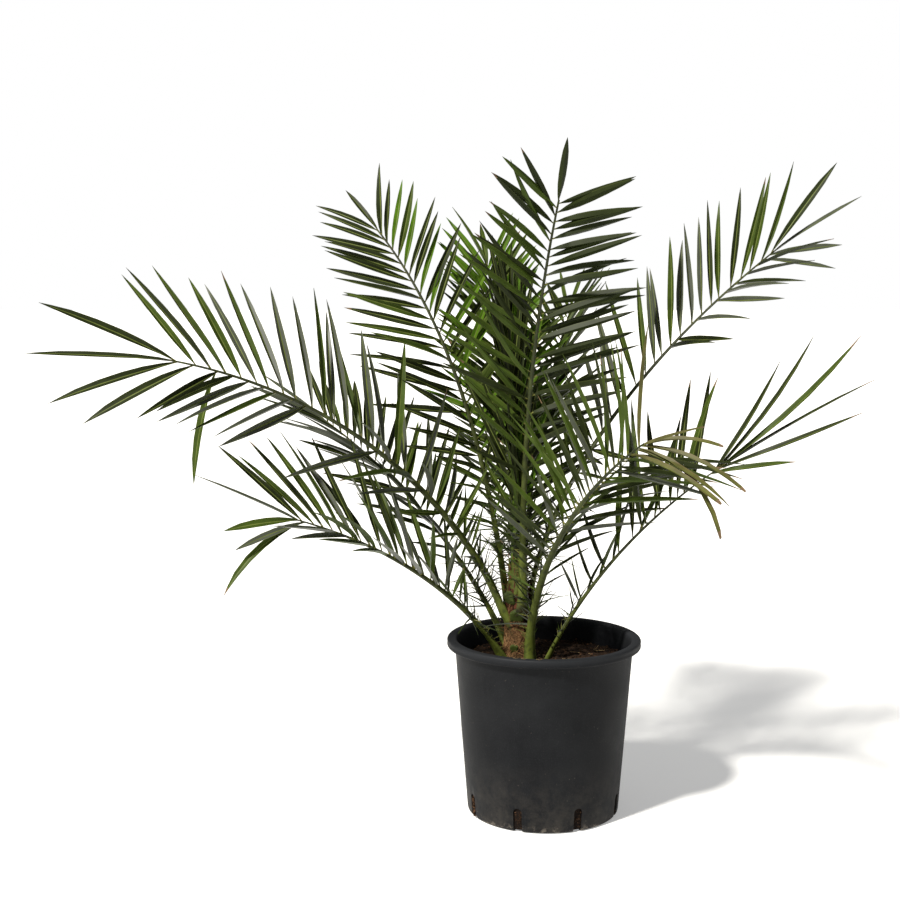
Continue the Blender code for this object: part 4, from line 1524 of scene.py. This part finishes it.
def make_stalk(midrib, slot):
    """Petiole and rachis: a straight tapered bar, channelled on top, then laid on the midrib's course."""
    frond = midrib.frond
    title = frond.name.replace("frond_", "stalk_") if frond is not SPEAR else "spear_stalk"
    half = midrib.half_width(0.0)
    piece = start_disc(title, STALK_SIDES, half, (0.0, 0.0, -FOOT_DEPTH))
    for _ in range(FOOT_ROWS):
        extrude(FOOT_DEPTH / FOOT_ROWS)
    step = frond.length / STALK_RINGS
    for ring in range(1, STALK_RINGS + 1):
        new_half = midrib.half_width(ring / STALK_RINGS)
        extrude(step, new_half / half, (0.0, 0.0, step * ring))
        half = new_half
    leave_outwards()
    shares = []
    for vertex in piece.data.vertices:
        across, thick, far = vertex.co
        far -= FOOT_DEPTH
        if far < -1e-5:
            place, left, up = foot_place(midrib, -far)
            depth = -far / FOOT_DEPTH
            broad = 1.0 + FOOT_FLARE * depth
            hug = left * across * broad - up * (across * broad) ** 2 * FOOT_HUG * depth
            vertex.co = place + hug + up * thick * frond.flatness
            shares.append(FOOT_SHARE * (1.0 - depth))
            continue
        share = min(1.0, max(0.0, far / frond.length))
        shares.append(FOOT_SHARE + (1.0 - FOOT_SHARE) * share)
        if thick > 0.0 and frond is not SPEAR:
            channel = max(0.0, 1.0 - share / 0.25)
            thick *= 0.70 - 0.55 * channel * (1.0 - abs(across) / midrib.half_width(share))
        place, _, left, up = midrib.eased(share)
        vertex.co = place + left * across + up * thick * min(1.0, frond.flatness * 1.25)
    piece.location = (0.0, 0.0, 0.0)
    piece.data.attributes.new("along", "FLOAT", "POINT").data.foreach_set("value", shares)
    paint(piece, "spear_skin" if frond is SPEAR else "stalk")
    turn_outwards(piece)
    smooth(piece, 50)
    finish_piece(piece, slot, frond.name)


def bent_course(start, way, bend, length, shares):
    """Places on a strand that bends more and more."""
    return [start + (way + bend * share) * length * share for share in shares]


def make_spines(midrib, settings, dice):
    """Stiff spines up both edges of the petiole, longer towards the leaflets, and thin lowest leaflets."""
    frond = midrib.frond
    spines = Bundle(("leaf_base", "leaf_mid", "leaf_grey", "leaf_deep"))
    count = max(4, int(frond.length * frond.petiole / SPINE_PITCH))
    for number in range(count):
        along = (number + dice.uniform(0.2, 0.8)) / count
        share = frond.petiole * (0.20 + 0.80 * along)
        place, way, left, up = midrib.eased(share)
        half = midrib.half_width(share)
        for sign in (1.0, -1.0):
            if dice.random() < SPINE_GAPS:
                continue
            out = left * sign * dice.uniform(0.6, 1.0) + up * dice.uniform(0.1, 0.9)
            spine_way = (way * dice.uniform(-0.15, 0.9) + out).normalized()
            length = settings.spine_length * dice.uniform(0.45, 1.0) * (0.22 + 0.78 * along)
            start = place + left * sign * half * 0.75
            colour = "leaf_base" if length < PALE_SPINE else dice.choice(SPINE_LEAVES)
            course = bent_course(start, spine_way, up * SPINE_BEND, length, (0.0, 0.35, 0.7, 1.0))
            spines.thread(course, SPINE_HALF, colour, 4)
    for _ in range(int(settings.wisps * SPRAYS[frond.name].wisps * frond.length)):
        share = frond.petiole * dice.uniform(*WISP_PLACES)
        place, way, left, up = midrib.eased(share)
        sign = dice.choice((1.0, -1.0))
        out = left * sign * dice.uniform(0.4, 1.0) + up * dice.uniform(-0.5, 1.0)
        wisp_way = (way * dice.uniform(-0.2, 0.9) + out).normalized()
        length = dice.uniform(*WISP_LENGTHS)
        bend = up * dice.uniform(-0.35, 0.15) + way * dice.uniform(-0.2, 0.3)
        start = place + left * sign * midrib.half_width(share) * 0.6
        course = bent_course(start, wisp_way, bend, length, (0.0, 0.2, 0.45, 0.7, 1.0))
        radius = dice.uniform(*WISP_RADII)
        spines.thread(course, radius, dice.choice(WISP_LEAVES), 4)
    finish_piece(spines.build(frond.name.replace("frond_", "spines_")), "leaf")


def grow_fronds(settings):
    """Spear leaf first, then each frond in turn, so that each keeps clear of the ones before it."""
    dice = random.Random(SEED)
    fine_dice = random.Random(SEED + 3)
    stumps = [f"cut_leaf_base_{number}" for number in range(1, len(STUMPS) + 1)]
    fixed = [tree_of_node(name) for name in ("pot", "potting_mix", "trunk", *stumps)]
    ribs = [Midrib(frond) for frond in (SPEAR, *FRONDS)]
    rib_trees = [tree_of(*rib.tube(LEAF_CLEAR)) for rib in ribs]
    leaf_trees = []
    for rib, own_tree in zip(ribs, rib_trees):
        obstacles = fixed + [tree for tree in rib_trees if tree is not own_tree] + leaf_trees
        leaflets = paired_leaflets(rib, obstacles, dice) + loose_leaflets(rib)
        leaf_trees += [leaflet.tree() for leaflet in leaflets]
        slot = "spear" if rib.frond is SPEAR else "leaf"
        make_stalk(rib, slot)
        make_leaflets(rib, leaflets, settings, slot, fine_dice)
        if rib.frond is not SPEAR:
            make_spines(rib, settings, fine_dice)


# --- Stage ---


def make_floor(settings):
    clear_selection()
    bpy.ops.mesh.primitive_plane_add(size=FLOOR_SIZE, location=(0.0, 0.0, FLOOR_HEIGHT))
    floor = bpy.context.object
    floor.name = "studio_floor"
    finish = Finish("studio_floor", 0.85, 0.1)
    finish.shader.inputs["Emission Color"].default_value = (1.0, 1.0, 1.0, 1.0)
    finish.shader.inputs["Emission Strength"].default_value = FLOOR_GLOW
    tone = finish.ramp(finish.noise(0.7), (0.3, shade(settings.floor, 0.99)), (0.7, settings.floor))
    floor.data.materials.append(finish.done(tone))


def make_light(settings):
    """A broad key light from the upper left front, in an even room with a plain white wall."""
    world = bpy.data.worlds.new("studio")
    bpy.context.scene.world = world
    world.use_nodes = True
    tree = world.node_tree
    background = tree.nodes["Background"]
    background.inputs["Color"].default_value = (1.0, 1.0, 1.0, 1.0)
    brightness = tree.nodes.new("ShaderNodeMapRange")
    brightness.inputs["To Min"].default_value = settings.sky
    brightness.inputs["To Max"].default_value = 1.0
    seen = tree.nodes.new("ShaderNodeLightPath").outputs["Is Camera Ray"]
    tree.links.new(seen, brightness.inputs["Value"])
    tree.links.new(brightness.outputs["Result"], background.inputs["Strength"])
    key = bpy.data.lights.new("key_light", "SUN")
    key.energy = settings.key
    key.color = KEY_TINT
    key.angle = settings.softness
    key_object = bpy.data.objects.new("key_light", key)
    key_object.rotation_euler = [math.radians(angle) for angle in KEY_TURN]
    bpy.context.scene.collection.objects.link(key_object)


def make_camera(settings):
    camera = bpy.data.cameras.new("camera")
    camera.lens = settings.lens
    camera.sensor_width = 36.0
    camera_object = bpy.data.objects.new("camera", camera)
    camera_object.location = CAMERA_PLACE
    camera_object.rotation_euler = (math.radians(90.0 - CAMERA_DIP), 0.0, 0.0)
    bpy.context.scene.collection.objects.link(camera_object)
    bpy.context.scene.camera = camera_object


# --- Operators ---


class PALM_OT_pot(bpy.types.Operator):
    """Turn the nursery pot, cut its drainage slots and round its edges"""

    bl_idname = "palm.pot"
    bl_label = "Nursery pot"

    def execute(self, context):
        make_pot(context.scene.palm_pot)
        return {"FINISHED"}


class PALM_OT_mix(bpy.types.Operator):
    """Fill the pot with lumpy potting mix and its litter of chips and straws"""

    bl_idname = "palm.mix"
    bl_label = "Potting mix"

    def execute(self, context):
        make_mix(context.scene.palm_mix)
        make_litter(context.scene.palm_mix)
        return {"FINISHED"}


class PALM_OT_trunk(bpy.types.Operator):
    """Make the matted trunk and the fibres round it"""

    bl_idname = "palm.trunk"
    bl_label = "Trunk and fibres"

    def execute(self, context):
        make_trunk(context.scene.palm_trunk)
        make_fibres(context.scene.palm_trunk)
        make_sheaths()
        return {"FINISHED"}


class PALM_OT_cut_bases(bpy.types.Operator):
    """Set the sawn-off leaf bases round the trunk"""

    bl_idname = "palm.cut_bases"
    bl_label = "Cut leaf bases"

    def execute(self, context):
        for number, stump in enumerate(STUMPS, start=1):
            make_cut_base(number, *stump)
        return {"FINISHED"}


class PALM_OT_fronds(bpy.types.Operator):
    """Grow the spear leaf and every frond: stalk, leaflets and spines"""

    bl_idname = "palm.fronds"
    bl_label = "Fronds and spear leaf"

    def execute(self, context):
        grow_fronds(context.scene.palm_frond)
        return {"FINISHED"}


class PALM_OT_stage(bpy.types.Operator):
    """Set out the floor, the light and the camera"""

    bl_idname = "palm.stage"
    bl_label = "Stage"

    def execute(self, context):
        settings = context.scene.palm_stage
        make_floor(settings)
        make_light(settings)
        make_camera(settings)
        context.scene.view_settings.view_transform = "Standard"
        return {"FINISHED"}


class PALM_PT_parts(bpy.types.Panel):
    """The plant's parts and their settings"""

    bl_label = "Potted date palm"
    bl_idname = "PALM_PT_parts"
    bl_space_type = "VIEW_3D"
    bl_region_type = "UI"
    bl_category = "Palm"

    def draw(self, context):
        for title, name, group, operators in PARTS:
            box = self.layout.box()
            box.label(text=title)
            for key in group.__annotations__:
                box.prop(getattr(context.scene, name), key)
            for operator in operators:
                box.operator(operator.bl_idname)


PARTS = (
    ("Pot", "palm_pot", PotSettings, (PALM_OT_pot,)),
    ("Potting mix", "palm_mix", MixSettings, (PALM_OT_mix,)),
    ("Trunk", "palm_trunk", TrunkSettings, (PALM_OT_trunk, PALM_OT_cut_bases)),
    ("Fronds", "palm_frond", FrondSettings, (PALM_OT_fronds,)),
    ("Stage", "palm_stage", StageSettings, (PALM_OT_stage,)),
)


def register():
    for _, name, group, operators in PARTS:
        for one in (group, *operators):
            bpy.utils.register_class(one)
        setattr(bpy.types.Scene, name, PointerProperty(type=group))
    bpy.utils.register_class(PALM_PT_parts)


def unregister():
    bpy.utils.unregister_class(PALM_PT_parts)
    for _, name, group, operators in reversed(PARTS):
        delattr(bpy.types.Scene, name)
        for one in (*operators, group):
            bpy.utils.unregister_class(one)


def main():
    register()
    bpy.ops.palm.pot()
    bpy.ops.palm.mix()
    bpy.ops.palm.trunk()
    bpy.ops.palm.cut_bases()
    bpy.ops.palm.fronds()
    bpy.ops.palm.stage()


if __name__ == "__main__":
    main()
